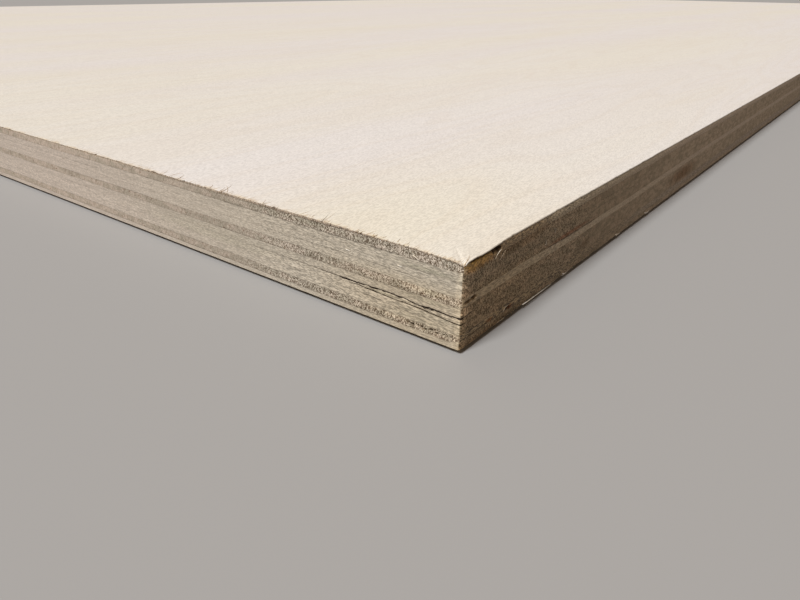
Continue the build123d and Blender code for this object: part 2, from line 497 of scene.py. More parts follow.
print("relief at three places:", end_grain_relief(np.array([1.0, 2.0, 3.0]), np.array([2.0]), 5).round(3))

# %% [markdown]
# ## Scars
#
# The damage that makes this sheet this sheet: voids in the crossbands that the saw opened, a chip, a row
# of pits, two pin holes, bites out of the lower arris. Each is given by its place and size, and small
# functions work out how much deeper the wall is there. They could be cut with Boolean modifiers, but a
# wall that is already a fine grid of points only needs those points pushed in.

# %% Two kinds of hole
RAGGED_TALL, RAGGED_LONG, WAVE_LONG, WAVE_TALL, WAVE_SHARE = 0.35, 1.5, 0.7, 2.0, 0.5


def soft_stretch(x, start, length, soft):
    """1 within a stretch of x and 0 outside it, with soft ends."""
    end = start + length
    return between(x, (start - soft, start + soft), (end - soft, end + soft))


def pocket(path, height, start, length, low, tall, depth, seed, soft, ragged):
    """A hole in the edge with soft, uneven sides. It starts at a distance from the corner."""
    here = path["around"] + ragged * uneven(height / RAGGED_TALL, path["around"] / RAGGED_LONG, seed)
    up = height + WAVE_SHARE * ragged * uneven(path["around"] / WAVE_LONG, height / WAVE_TALL, seed + 1)
    return depth * soft_stretch(here, start, length, soft) * soft_stretch(up, low, tall, soft)


def pin_hole(path, height, at, level, radius, depth, stretch=1.0):
    """A round or long hole with a soft rim."""
    return depth * mound(np.hypot((path["around"] - at) / stretch, height - level) / radius)


print("a soft stretch", soft_stretch(np.array([0.0, 1.0, 2.0]), start=1.0, length=3.0, soft=0.3))

# %% Places and sizes of the holes
PITS = ((3.7, 0.24), (5.2, 0.32), (6.6, 0.44), (7.9, 0.3), (8.8, 0.34), (9.7, 0.3), (11.1, 0.5), (11.9, 0.28))
PIT_DEPTH, PIT_LEVEL, PIT_SWAY, PIT_SWAY_PACE, PIT_STRETCH = 0.6, 2.08, 0.16, 2.2, 1.4


def pit(distance, radius):
    """One of the row of pits on the short edge, which sways a little up and down."""
    level = PIT_LEVEL + PIT_SWAY * math.sin(PIT_SWAY_PACE * distance)
    return dict(at=-distance, level=level, radius=radius, depth=PIT_DEPTH, stretch=PIT_STRETCH)


POCKETS = {
    "upper_crossband": (
        dict(start=9.9, length=3.5, low=16.65, tall=0.9, depth=1.1, seed=17, soft=0.35, ragged=0.7),
        dict(start=2.2, length=10.0, low=17.1, tall=0.36, depth=0.55, seed=19, soft=0.25, ragged=0.3),
    ),
    "lower_crossband": (
        dict(start=16.6, length=2.3, low=1.75, tall=0.6, depth=0.7, seed=27, soft=0.35, ragged=0.8),
    ),
}
PIN_HOLES = {
    "upper_core_middle": (dict(at=37.2, level=13.3, radius=0.5, depth=2.5),),
    "upper_core_bottom": (dict(at=33.0, level=11.75, radius=0.5, depth=2.5),),
    "lower_crossband": tuple(pit(distance, radius) for distance, radius in PITS),
}
print("pockets in", ", ".join(POCKETS), "- pin holes in", ", ".join(PIN_HOLES))

# %% The open seam of the centre crossband
SEAM_GAP = dict(at=4.2, level=9.75, radius=0.42, depth=1.3, stretch=3.2)
SEAM_BRUISE = dict(at=2.3, level=9.5, radius=0.34, depth=0.9, stretch=5.5)
FRAY, FRAY_LONG, FRAY_TALL, FRAY_SEED = 0.16, 0.6, 0.5, 15
SEAM_LEAST, SEAM_MORE, SEAM_GRAIN, SEAM_SEED = 0.75, 0.25, 0.4, 13


def open_seam(path, height):
    """The gap where two strips of the centre crossband do not meet, and the bruise that leads to it."""
    frayed = height + FRAY * uneven(path["around"] / FRAY_LONG, height / FRAY_TALL, FRAY_SEED)
    depth = np.maximum(pin_hole(path, frayed, **SEAM_GAP), pin_hole(path, frayed, **SEAM_BRUISE))
    ragged = uneven(path["around"] / SEAM_GRAIN, height / SEAM_GRAIN, SEAM_SEED)
    return depth * (SEAM_LEAST + SEAM_MORE * ragged)


print("the seam is", SEAM_GAP["depth"], "mm deep")

# %% The lower arris
ARRIS_DEPTH, ARRIS_RANGE = 0.05, (0.02, 0.06)
ARRIS_LEAST, ARRIS_MORE, ARRIS_REACH, ARRIS_SEED = 0.8, 0.2, 1.2, 33
BITES = (
    (17.0, 0.2), (22.0, 0.35), (28.5, 0.3), (35.0, 0.4), (43.5, 0.25), (52.0, 0.2), (63.0, 0.3), (75.0, 0.2),
)
BITE_LENGTH, BITE_FROM, BITE_TO, BITE_HEIGHT = 3.2, 0.05, 0.1, 0.6
BITE_LEAST, BITE_MORE, BITE_GRAIN, BITE_TALL, BITE_SEED = 0.6, 0.5, 1.1, 0.5, 35


def lower_arris(path, height):
    """The lowest arris: eased all round, and bitten away on the long edge."""
    worn = ARRIS_DEPTH * (1 - rise(height, *ARRIS_RANGE))
    worn = worn * (ARRIS_LEAST + ARRIS_MORE * uneven_plan(path, ARRIS_REACH, ARRIS_SEED))
    ragged = as_share(uneven(path["around"] / BITE_GRAIN, height / BITE_TALL, BITE_SEED))
    bitten = 0
    for at, size in BITES:
        where = mound((path["around"] - at) / BITE_LENGTH)
        bite = size * where * (1 - rise(height, BITE_FROM, BITE_TO + BITE_HEIGHT * size * ragged))
        bitten = np.maximum(bitten, bite)
    return worn + bitten * (BITE_LEAST + BITE_MORE * ragged)


print("bites out of the lower arris:", len(BITES))

# %% All the scars of a veneer
def scars(node, path, height):
    """How much deeper the wall of one veneer is where it is scarred."""
    depth = np.zeros_like(height)
    for hole in POCKETS.get(node, ()):
        depth = np.maximum(depth, pocket(path, height, **hole))
    for hole in PIN_HOLES.get(node, ()):
        depth = np.maximum(depth, pin_hole(path, height, **hole))
    if node == "centre_crossband":
        depth = open_seam(path, height)
    if node == "back_veneer":
        depth = lower_arris(path, height)
    return depth


print("scarred veneers:", len({*POCKETS, *PIN_HOLES, "centre_crossband", "back_veneer"}))

# %% [markdown]
# ## The open glue line and the split below it
#
# At the corner the lower core has come apart. One crack follows a glue line: there the veneer below is
# made thinner at its rim, so a real gap opens that closes a few millimetres inside. The other crack runs
# through a veneer. Its rows of points are drawn together along the crack's course, and the middle rows
# are pushed deep into the wood. Neither is open all the way: fibres bridge them, so both are wider and
# narrower by turns, like beads on a string.

# %% The open glue line
CRACKED = "lower_core_middle"
BIG_BEAD, SMALL_BEAD, SMALL_BEAD_SEED = 1.6, 0.55, 4
MOUTH, MOUTH_OPENS, MOUTH_CLOSES = 0.3, (-38, -26), (0.5, 3.5)
MOUTH_BEADS = dict(middle=0.58, big=0.3, small=0.28, seed=501)
WIDE_AT, WIDE_LENGTH, WIDER = -8.3, 2.6, 1.1


def beads(around, middle, big, small, seed):
    """Width of a crack that swells and narrows along its length."""
    swell = uneven_line(around, BIG_BEAD, seed)
    return middle + big * swell + small * uneven_line(around, SMALL_BEAD, seed + SMALL_BEAD_SEED)


def glue_gap(path):
    """How far the cracked veneer's upper rim has dropped from the glue line."""
    around = path["around"]
    wide = WIDER * mound((around - WIDE_AT) / WIDE_LENGTH)
    width = np.maximum(beads(around, **MOUTH_BEADS), 0)
    return MOUTH * between(around, MOUTH_OPENS, MOUTH_CLOSES) * width * (1 + wide)


print("the open glue line reaches", -MOUTH_OPENS[0], "mm from the corner")

# %% The split
SPLIT_COURSE = (
    (-29, 6.6), (-26, 6.5), (-23, 6.25), (-19, 6.15), (-15, 5.95), (-13, 6.1), (-11, 5.95), (-9, 5.93),
    (-7, 5.75), (-5, 5.65), (-3, 5.45), (-1, 5.35), (4, 5.3),
)
SPLIT_OPENS, SPLIT_CLOSES = (-28, -23), (0.3, 2.6)
SPLIT_BEADS = dict(middle=0.7, big=0.2, small=0.2, seed=503)
ROWS_GATHER, ROWS_PART = (-30, -27), (2.5, 5)
SPLIT_MOUTH, SPLIT_LEAST, SPLIT_MORE, WOOD_LEFT = 0.26, 0.3, 0.7, 0.3
SPLIT_ROWS, SPLIT_MIDDLE = (0, 0.45, 0.5, 0.55, 1), 0.5
SPLIT_DEPTH, SLOT_HALF, LIP_DEPTH, LIP_RANGE = 3.0, 0.025, 0.1, (0.04, 0.12)


def split_strength(path):
    """About 1 where the split is open, 0 where there is none."""
    return between(path["around"], SPLIT_OPENS, SPLIT_CLOSES) * beads(path["around"], **SPLIT_BEADS)


def crack_rows(path, bottom, top, shares):
    """Heights of the cracked veneer's rows, drawn together along the split."""
    course = np.clip(along(SPLIT_COURSE, path["around"]), bottom + WOOD_LEFT, top - WOOD_LEFT)
    middle = (bottom + top) / 2
    course = middle + (course - middle) * between(path["around"], ROWS_GATHER, ROWS_PART)
    half_mouth = SPLIT_MOUTH / 2 * (SPLIT_LEAST + SPLIT_MORE * split_strength(path))
    knots = np.stack([bottom, course - half_mouth, course, course + half_mouth, top])
    weights = np.stack([np.interp(shares, SPLIT_ROWS, row) for row in np.eye(len(SPLIT_ROWS))], axis=1)
    return weights @ knots


def split_relief(path, shares):
    """Depth of the split on each row: the middle rows are deep and its lips are rounded."""
    from_middle = np.abs(shares - SPLIT_MIDDLE)[:, None]
    groove = np.where(from_middle < SLOT_HALF, SPLIT_DEPTH, 0)
    lips = LIP_DEPTH * (1 - rise(from_middle, *LIP_RANGE))
    return (groove + lips) * split_strength(path)


print("split runs from", SPLIT_COURSE[0], "to", SPLIT_COURSE[-1])

# %% [markdown]
# ## The torn rim of the face
#
# The face is paper thin, a third of a millimetre, and its fibres run out over the short edge. The saw
# broke them instead of cutting them, so that rim is a row of small notches, with one long tear and a few
# short ones that run in along the grain. On the long edge the saw ran with the fibres, and the rim has
# hardly more than nicks.

# %% Notches in the rim of the face
NOTCH_DEPTH, NOTCH_WIDTH, NOTCH_RANGE, NOTCH_SEED = 0.42, 0.5, (0.1, 0.9), 601
CLUSTER_WIDTH, CLUSTER_RANGE, CLUSTER_SEED = 5.0, (-0.3, 0.7), 602
CLUSTER_LEAST, CLUSTER_MORE = 0.35, 0.65
NOTCHES_END, FAR_CORNER_KEPT = (-1.0, 0.2), 1
NICK_DEPTH, NICK_WIDTH, NICK_RANGE, NICK_SEED, NICKS_START = 0.10, 2.0, (0.2, 0.9), 603, 0.3


def face_notches(path):
    """Depth of the notches in the rim of the face: deep on the short edge, slight on the long one."""
    around = path["around"]
    fine = rise(uneven_line(around, NOTCH_WIDTH, NOTCH_SEED), *NOTCH_RANGE)
    cluster = rise(uneven_line(around, CLUSTER_WIDTH, CLUSTER_SEED), *CLUSTER_RANGE)
    on_short = (1 - rise(around, *NOTCHES_END)) * (around > -SAWN_WIDTH + FAR_CORNER_KEPT)
    nicks = rise(uneven_line(around, NICK_WIDTH, NICK_SEED), *NICK_RANGE)
    nicks = NICK_DEPTH * nicks * (around > NICKS_START)
    notches = NOTCH_DEPTH * fine * (CLUSTER_LEAST + CLUSTER_MORE * cluster) * on_short
    return notches + nicks * (around < FAR_AROUND)


print("notches are up to", NOTCH_DEPTH, "mm deep")

# %% Tears in the rim of the face
TEARS = ((-34.4, 0.86), (-52.4, 0.3), (-20.6, 0.3), (-24.8, 0.2), (-66.6, 0.3), (-83.6, 0.3))
TEAR_LEAN, TEAR_LEAN_REACH = 2.2, 12.0
INSET_OF_LIDS, INSET_BLEND = 5.0, 8.0


def inner_loop(path, lean):
    """The inner edge of the lids: the same stations, moved in by the inset. Lean shears it along the rim."""
    loop = []
    for here, size in ((path["x"], SAWN_LENGTH), (path["y"], SAWN_WIDTH)):
        from_ends = np.exp(-here / INSET_BLEND) - np.exp(-(size - here) / INSET_BLEND)
        loop.append(here + INSET_OF_LIDS * from_ends)
    leaning = mound((path["around"] - TEARS[0][0]) / TEAR_LEAN_REACH)
    loop[1] = loop[1] + lean * TEAR_LEAN * leaning * (path["around"] < 0)
    return loop


def tear_face(path, wall, inner):
    """Opens the tears: at one station the wall runs in towards the inner edge of the lid."""
    for at, share in TEARS:
        nearest = int(np.argmin(np.abs(path["around"] - at)))
        for outside, inside in zip(wall, inner):
            outside[:, nearest] += (inside[nearest] - outside[:, nearest]) * share


print("tears:", len(TEARS))

# %% [markdown]
# ## One veneer as one mesh
#
# A veneer is rows of points on each station's wall, closed by two lids. Each lid has a narrow sloping
# ring, which follows the wandering glue line, and inside it one flat face. All of the coordinates are
# worked out as arrays and handed to Blender at once, which is far quicker than adding points one by one.

# %% Rows and rings
ROW_HEIGHT = 0.2
FOOT_ROWS, FOOT_GATHER = 5, 1.6
CRACKED_ROWS = (
    0, 0.03, *np.linspace(0.12, 0.4, 4), 0.44, 0.45, 0.48, 0.5, 0.52, 0.55, 0.56, 0.7, 0.85, 0.96, 1,
)


def rows_of(index):
    """Heights of the rows as shares of the veneer's thickness. The lowest veneer has more near its foot."""
    count = max(2, round((levels[index + 1] - levels[index]) / ROW_HEIGHT))
    if stack[index] == CRACKED:
        return np.array(CRACKED_ROWS)
    if index == 0:
        return np.linspace(0, 1, count + FOOT_ROWS) ** FOOT_GATHER
    return np.linspace(0, 1, count + 1)


def ring_faces(first, second, count):
    """Quads between two rings of the same number of points, given by their first points."""
    here = np.arange(count)
    after = np.roll(here, -1)
    return np.stack([first + here, first + after, second + after, second + here], axis=1)


print("rows of each veneer:", [len(rows_of(index)) for index in range(len(stack))])

# %% Turn arrays into a mesh
QUAD = 4


def mesh_from_arrays(name, places, quads, lids, flat):
    """A mesh from point places in millimetres, quads, and lids. Faces whose number is in flat stay flat."""
    mesh = bpy.data.meshes.new(name)
    corners = np.concatenate([quads.ravel(), *lids]).astype(np.int32)
    sizes = np.array([QUAD] * len(quads) + [len(lid) for lid in lids], dtype=np.int32)
    starts = np.concatenate([[0], np.cumsum(sizes)[:-1]]).astype(np.int32)
    mesh.vertices.add(len(places))
    mesh.vertices.foreach_set("co", (places * MM).ravel())
    mesh.loops.add(len(corners))
    mesh.loops.foreach_set("vertex_index", corners)
    mesh.polygons.add(len(sizes))
    mesh.polygons.foreach_set("loop_start", starts)
    mesh.update(calc_edges=True)
    mesh.validate()
    smooth = np.ones(len(sizes), dtype=bool)
    smooth[flat] = False
    mesh.polygons.foreach_set("use_smooth", smooth)
    return mesh


print("meshes so far:", len(bpy.data.meshes))

# %% [markdown]
# The top of the sheet is the one lid that is seen. One face of two thousand corners would be cut into
# slivers as long as the sheet, and light goes wrong on those. So a few points are added inside it, and
# a Delaunay triangulation, which avoids thin triangles, joins them to the loop.

# %% Fill the seen lid
LID_STEP, LID_GROWTH, LID_COUNT, LID_MIDDLE = 9.0, 1.5, 13, 0.4
INSIDE_LOOP, CLOSE_ENOUGH = 2, 1e-6


def lid_triangles(loop_x, loop_y):
    """Well-shaped triangles inside a loop: the points to add, and the corners, the loop's points first."""
    steps = LID_STEP * LID_GROWTH ** np.arange(LID_COUNT)
    inside = []
    for size in (SAWN_LENGTH, SAWN_WIDTH):
        from_end = steps[steps < LID_MIDDLE * size]
        inside.append(np.concatenate([from_end, size - from_end]))
    more = np.stack(np.meshgrid(*inside), axis=-1).reshape(-1, 2)
    points = [Vector(p) for p in np.concatenate([np.stack([loop_x, loop_y], axis=1), more])]
    loop = list(range(len(loop_x)))
    edges = list(zip(loop, loop[1:] + loop[:1]))
    corners = delaunay_2d_cdt(points, edges, [loop], INSIDE_LOOP, CLOSE_ENOUGH)[2]
    return more, np.array(corners)


print("points inside the lid grow apart by a factor of", LID_GROWTH)

# %% [markdown]
# The wall of a veneer is its sawn relief with its scars, pushed in from the stations. The relief fades
# away from the corner, where the stations are too far apart to carry it.

# %% The wall of one veneer
SEED_START, SEED_STEP, FURROW_SEED = 1000, 17, 5
CRISP_REACH, CALM_SHARE, START_OF_RELIEF = (30.0, 200.0), 0.75, (0.1, 1.5)
CORE_CALM, FACE_CALM, CRACKED_CALM = 0.5, 0.35, 0.35
TOP_LEAN, TOP_LEAN_FROM, LEAN_START = 0.2, 16.6, (13, 16)
FACE_DROP, FACE_EASED, TOP_ROW, FACES_X = 0.05, 0.06, 0.99, 0.5


def wall_heights(index, path, shares):
    """Height of each point of the wall, as rows by stations."""
    bottom, top = joint_height(index, path), joint_height(index + 1, path)
    if stack[index] == FACE:
        top = top - FACE_DROP
    if stack[index] == CRACKED:
        return crack_rows(path, bottom, top - glue_gap(path), shares)
    return bottom + (top - bottom) * shares[:, None]


def wall_relief(index, path, heights, shares):
    """How deep each point of the wall lies behind the sawn surface."""
    node = stack[index]
    seed = SEED_START + SEED_STEP * index
    run = path["x"] + path["y"]
    cut_across = (np.abs(path["out_x"]) > FACES_X) == (node in GRAIN_ALONG_X)
    rough = end_grain_relief(run, heights, seed) * (1.0 if "crossband" in node else CORE_CALM)
    furrowed = long_grain_relief(run, heights, seed + FURROW_SEED)
    calm = 1 - CALM_SHARE * rise(path["far"], *CRISP_REACH)
    relief = np.where(cut_across, rough, furrowed) * calm * rise(path["far"], *START_OF_RELIEF)
    relief = relief + corner_nibbles(path, heights)
    if node == FACE:
        relief = FACE_CALM * relief
    on_long = rise(path["around"], *LEAN_START) * (path["around"] < FAR_AROUND)
    relief = relief + TOP_LEAN * on_long * rise(heights, TOP_LEAN_FROM, levels[-1])
    relief = relief + scars(node, path, heights)
    if node == CRACKED:
        relief = CRACKED_CALM * relief + split_relief(path, shares)
    if node == FACE:
        relief = relief + face_notches(path) + FACE_EASED * (shares[:, None] > TOP_ROW)
    return relief


print("the relief fades out between", *CRISP_REACH, "mm from the corner")

# %% [markdown]
# Two numbers are stored at each point for the finish to use: how deep the point is sunk below the sawn
# surface, which the finish paints as shade, and how dark the glue line is there. An attribute is the
# natural way to carry them, because the node editor reads it by name.

# %% Keep numbers for the finish
SUNK_FROM, SUNK_FULL = 0.12, 0.5
SLOT_EDGE, SLOT_SHADE, THIN_GAP = 0.055, 1.3, 0.08


def store(mesh, name, inner, wall, behind, added):
    """Keeps one number for each point, ring by ring, under a name that a material can read."""
    values = np.concatenate([inner, wall.ravel(), behind, added]).astype(np.float32)
    mesh.attributes.new(name, "FLOAT", "POINT").data.foreach_set("value", values)


def keep_marks(mesh, index, path, relief, shares, added):
    """Stores how deep each point is sunk, for painted shade, and how dark its glue line is."""
    none = np.zeros(len(path["x"]))
    sunk = np.clip((relief - SUNK_FROM) / SUNK_FULL, 0, 1)
    behind = none
    if stack[index] == FACE:
        sunk[-1] = 0
    # Painted shade: the split's slot, and the lid ring behind the open glue line, are stored as sunk and
    # painted dark.
    if stack[index] == CRACKED:
        in_slot = (np.abs(shares - SPLIT_MIDDLE) < SLOT_EDGE)[:, None]
        sunk = np.maximum(sunk, np.clip(SLOT_SHADE * in_slot * split_strength(path), 0, 1))
        behind = np.clip(glue_gap(path) / THIN_GAP, 0, 1)
    glue = np.zeros_like(relief)
    glue[0] = joint_darkness(index, path)
    glue[-1] = joint_darkness(index + 1, path)
    store(mesh, "sunk", none, sunk, behind, added)
    store(mesh, "glue_line_and_gap_shade", none, glue, none, added)


print("a point counts as sunk from", SUNK_FROM, "mm")

# %% Build the veneers
SHARP_FROM = math.radians(38)


def build_veneer(index):
    """The mesh object of veneer number index, counted from the underside."""
    node = stack[index]
    path = walk_round(CORNER_RADIUS.get(node, PLAIN_RADIUS))
    shares = rows_of(index)
    heights = wall_heights(index, path, shares)
    relief = wall_relief(index, path, heights, shares)
    wall = (path["x"] - path["out_x"] * relief, path["y"] - path["out_y"] * relief)
    inner = inner_loop(path, float(node == FACE))
    lid_top = levels[index + 1]
    if node == FACE:
        lid_top = lid_top - FACE_DROP
        tear_face(path, wall, inner)
    rings = [(*inner, np.full_like(inner[0], levels[index]))]
    rings += [(wall[0][k], wall[1][k], heights[k]) for k in range(len(shares))]
    rings += [(*inner, np.full_like(inner[0], lid_top))]
    places = np.concatenate([np.stack(ring, axis=1) for ring in rings])
    count = len(path["x"])
    quads = np.concatenate([ring_faces(k * count, (k + 1) * count, count) for k in range(len(rings) - 1)])
    first_of_lid = (len(rings) - 1) * count
    lids = [np.arange(count)[::-1], first_of_lid + np.arange(count)]
    added = np.zeros(0)
    if node == FACE:
        more, corners = lid_triangles(*inner)
        added = np.zeros(len(more))
        places = np.concatenate([places, np.column_stack([more, added + lid_top])])
        lids = [lids[0], *(first_of_lid + corners)]
    flat = np.r_[0:count, len(quads) - count:len(quads) + len(lids)]
    mesh = mesh_from_arrays(node + "_wood", places + np.array(WORN_CORNER), quads, lids, flat)
    mesh.set_sharp_from_angle(angle=SHARP_FROM)
    keep_marks(mesh, index, path, relief, shares, added)
    piece = put_in_scene(node + "_wood", mesh)
    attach(piece, "root")
    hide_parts(node)
    return piece


veneers = {stack[index]: build_veneer(index) for index in range(len(stack))}
for node, piece in veneers.items():
    print(node, len(piece.data.polygons), "faces")

# %% [markdown]
# ## Shader helpers
#
# A material is a graph of nodes. Writing a graph in code is clearer with small helpers: one places a node
# and fills its inputs, either with a value or with another node's output, and the others are short names
# for the nodes that are used again and again.

# %% Place nodes
def feed(tree, socket, value):
    """Fills one input, with a value or with the output that feeds it."""
    if isinstance(value, bpy.types.NodeSocket):
        tree.links.new(value, socket)
    else:
        socket.default_value = value


def place(tree, kind, inputs=None, **settings):
    """Adds a node. Each input is given by name or number, as a value or as the output that feeds it."""
    node = tree.nodes.new("ShaderNode" + kind)
    for name, value in settings.items():
        setattr(node, name, value)
    for name, value in (inputs or {}).items():
        feed(tree, node.inputs[name], value)
    return node


print("two helpers:", feed.__name__, "and", place.__name__)

# %% Short names for common nodes
def sums(tree, operation, first, second=0.0, third=0.0):
    """A Math node's result."""
    return place(tree, "Math", {0: first, 1: second, 2: third}, operation=operation).outputs[0]


def vectors(tree, operation, first, second=(0, 0, 0), output=0):
    """A Vector Math node's result."""
    return place(tree, "VectorMath", {0: first, 1: second}, operation=operation).outputs[output]


def either(tree, share, first, second):
    """Mixes two plain numbers."""
    return place(tree, "Mix", {0: share, 2: first, 3: second}).outputs[0]


def spread(tree, value, low, high, to_low=0.0, to_high=1.0):
    """Stretches a range of values to another, smoothly and without going past it."""
    inputs = {"Value": value, "From Min": low, "From Max": high, "To Min": to_low, "To Max": to_high}
    return place(tree, "MapRange", inputs, interpolation_type="SMOOTHSTEP").outputs[0]


def on_sheet(tree):
    """The place on the sheet, in metres."""
    return place(tree, "TexCoord").outputs["Object"]


def noise(tree, where, scale=1.0, detail=1.0, roughness=0.5, output="Fac"):
    """Smooth random patches about one over scale across."""
    inputs = {"Vector": where, "Scale": scale, "Detail": detail, "Roughness": roughness}
    return place(tree, "TexNoise", inputs).outputs[output]


print("short names:", ", ".join(helper.__name__ for helper in (sums, vectors, either, spread, noise)))

# %% Mix colours
SHARE, FIRST_COLOUR, SECOND_COLOUR, MIXED_COLOUR = 0, 6, 7, 2


def blend(tree, share, first, second, blend_type="MIX"):
    """Mixes two colours. The sockets go by number, because a Mix node has one set for each kind of value."""
    inputs = {SHARE: share, FIRST_COLOUR: first, SECOND_COLOUR: second}
    return place(tree, "Mix", inputs, data_type="RGBA", blend_type=blend_type).outputs[MIXED_COLOUR]


def times(tree, colour, tint):
    """Multiplies a colour by a tint."""
    return blend(tree, 1.0, colour, tint, "MULTIPLY")


def tinted(tree, share, colour, tint):
    """Multiplies a colour by a tint as far as a share says."""
    return blend(tree, share, colour, times(tree, colour, tint))


def grey(tree, value):
    """The grey that has one value in all three channels."""
    return place(tree, "CombineColor", {i: value for i in range(3)}).outputs[0]


print("colour helpers:", ", ".join(helper.__name__ for helper in (blend, times, tinted, grey)))

# %% [markdown]
# A node group is a small graph with named sockets. It is built once, and each material that uses it
# gives it other values. Its sockets belong to the group's interface, and its two end nodes show them.

# %% Make and use node groups
ORIGIN = ("Vector", (0, 0, 0))


def new_group(name, inputs, outputs):
    """A node group with named sockets. Returns the group and its input and output nodes."""
    group = bpy.data.node_groups.new(name, "ShaderNodeTree")
    for label, (kind, value) in inputs.items():
        socket = group.interface.new_socket(name=label, in_out="INPUT", socket_type="NodeSocket" + kind)
        socket.default_value = value
    for label, kind in outputs.items():
        group.interface.new_socket(name=label, in_out="OUTPUT", socket_type="NodeSocket" + kind)
    return group, group.nodes.new("NodeGroupInput").outputs, group.nodes.new("NodeGroupOutput").inputs


def put_out(group, result, **outputs):
    """Connects the outputs of a group. Spaces in an output's name are written as _."""
    for name, socket in outputs.items():
        group.links.new(socket, result[name.replace("_", " ")])
    print("group:", group.name)


def use(tree, group, **inputs):
    """Places a node group, fills its inputs and returns its outputs. Spaces are written as _."""
    node = place(tree, "Group", node_tree=group)
    for name, value in inputs.items():
        feed(tree, node.inputs[name.replace("_", " ")], value)
    return node.outputs


print("node groups before the first:", len(bpy.data.node_groups))

# %% [markdown]
# ## Wood fibres
#
# Wood looks like wood because its colour changes slowly along the fibres and quickly across them. That
# is plain noise, read through coordinates that are squeezed along the grain. The group puts out a broad
# tone, fine streaks, thin dark lines where the saw lifted a fibre, short pale flecks, and a grit of single
# fibres. Each material decides what colours they stand for.

# %% The fibre group
STREAK_FINENESS, LINE_FINENESS, FLECK_FINENESS = 2.6, 1.6, 1.4
TONE_RANGE, GRIT_RANGE, FLECK_RANGE = (0.3, 0.7), (0.33, 0.67), (0.63, 0.74)
LINE_CENTRE, LINE_WIDTH, LINE_PATCHES = 0.5, 0.014, (0.42, 0.6)

fibres, given, result = new_group(
    "wood fibres",
    {"Squeeze": ("Vector", (1, 1, 1)), "Shift": ORIGIN, "Grit Squeeze": ("Vector", (7, 2.5, 2.5))},
    {"Tone": "Float", "Streaks": "Float", "Lines": "Float", "Flecks": "Float", "Grit": "Float"},
)
moved = vectors(fibres, "MULTIPLY", on_sheet(fibres), given["Squeeze"])
moved = vectors(fibres, "ADD", moved, given["Shift"])
grit_at = vectors(fibres, "MULTIPLY", moved, given["Grit Squeeze"])
tone = noise(fibres, moved, detail=3.0, roughness=0.55)
streaks = noise(fibres, moved, STREAK_FINENESS, detail=4.0, roughness=0.7)
lines = noise(fibres, moved, LINE_FINENESS, detail=0.0)
from_line = sums(fibres, "ABSOLUTE", sums(fibres, "SUBTRACT", lines, LINE_CENTRE))
line_here = spread(fibres, from_line, LINE_WIDTH, 0.0)
put_out(
    fibres, result,
    Tone=spread(fibres, tone, *TONE_RANGE),
    Streaks=spread(fibres, streaks, *TONE_RANGE),
    Lines=sums(fibres, "MULTIPLY", line_here, spread(fibres, tone, *LINE_PATCHES)),
    Flecks=spread(fibres, noise(fibres, grit_at, FLECK_FINENESS), *FLECK_RANGE),
    Grit=spread(fibres, noise(fibres, grit_at), *GRIT_RANGE),
)

# %% [markdown]
# ## Cut fibre ends
#
# End grain is darker than long grain, because each cut fibre is an open tube that traps light. At this
# distance it is a coarse salt-and-pepper pattern, crossed by slanting lathe checks. Noise alone would be
# too soft for it, so half of the speckle is a Voronoi pattern, in which each cell is one fibre with one
# grey of its own. The pattern is laid out along the edge: adding the two level coordinates gives a
# distance that runs along either edge.

# %% The end-grain group
SPECKLE_SIZE, CHECK_SIZE = (6600, 3200, 1), (1700, 500, 1)
PATCH_SIZE, OPEN_PORE_SIZE, CELL_SIZE = (300, 650, 1), (1500, 1900, 1), (6800, 3400, 1)
CELL_SHARE, SPECKLE_RANGE, OPEN_PORE_RANGE = 0.5, (0.53, 0.97), (0.72, 0.82)
CHECK_RANGE, PATCH_RANGE = (0.52, 0.66), (0.35, 0.65)

ends, given, result = new_group(
    "cut fibre ends",
    {"Shift": ORIGIN, "Slant": ("Float", 0.75)},
    {"Speckle": "Float", "Checks": "Float", "Patches": "Float", "Pores": "Float"},
)
where = place(ends, "SeparateXYZ", {0: on_sheet(ends)}).outputs
run = sums(ends, "ADD", where["X"], where["Y"])
slanted = sums(ends, "MULTIPLY_ADD", where["Z"], given["Slant"], run)
on_edge = place(ends, "CombineXYZ", {0: run, 1: where["Z"]}).outputs[0]
on_slant = place(ends, "CombineXYZ", {0: slanted, 1: where["Z"]}).outputs[0]


def laid_out(plan, size):
    """Coordinates that make a pattern finer along the edge and up it, moved by the group's shift."""
    return vectors(ends, "ADD", vectors(ends, "MULTIPLY", plan, size), given["Shift"])


cells_at = {"Vector": laid_out(on_edge, CELL_SIZE), "Scale": 1.0}
cells = place(ends, "TexVoronoi", cells_at, voronoi_dimensions="2D")
each_cell = place(ends, "SeparateColor", {0: cells.outputs["Color"]}).outputs[0]
speckle = noise(ends, laid_out(on_slant, SPECKLE_SIZE), detail=2.0, roughness=0.65)
speckle = sums(ends, "MULTIPLY_ADD", each_cell, CELL_SHARE, speckle)
checks = noise(ends, laid_out(on_slant, CHECK_SIZE), detail=1.5)
patches = noise(ends, laid_out(on_edge, PATCH_SIZE), detail=2.0)
pores = noise(ends, laid_out(on_edge, OPEN_PORE_SIZE), detail=0.0)
put_out(
    ends, result,
    Speckle=spread(ends, speckle, *SPECKLE_RANGE),
    Checks=spread(ends, checks, *CHECK_RANGE),
    Patches=spread(ends, patches, *PATCH_RANGE),
    Pores=spread(ends, pores, *OPEN_PORE_RANGE),
)

# %% [markdown]
# ## Which way is the wood cut?
#
# A surface shows end grain where it faces along the fibres. The direction that the surface faces is
# compared with the direction of the grain, so all four edges of every veneer get the right look from one
# rule, and a lid never shows end grain.

# %% The cut group
CUT_RANGE = (0.45, 0.7)

cut, given, result = new_group(
    "how the wood is cut", {"Grain": ("Vector", (1, 0, 0))}, {"Across Fibres": "Float"}
)
facing = place(cut, "NewGeometry").outputs["Normal"]
along_grain = vectors(cut, "DOT_PRODUCT", facing, given["Grain"], "Value")
put_out(cut, result, Across_Fibres=spread(cut, sums(cut, "ABSOLUTE", along_grain), *CUT_RANGE))

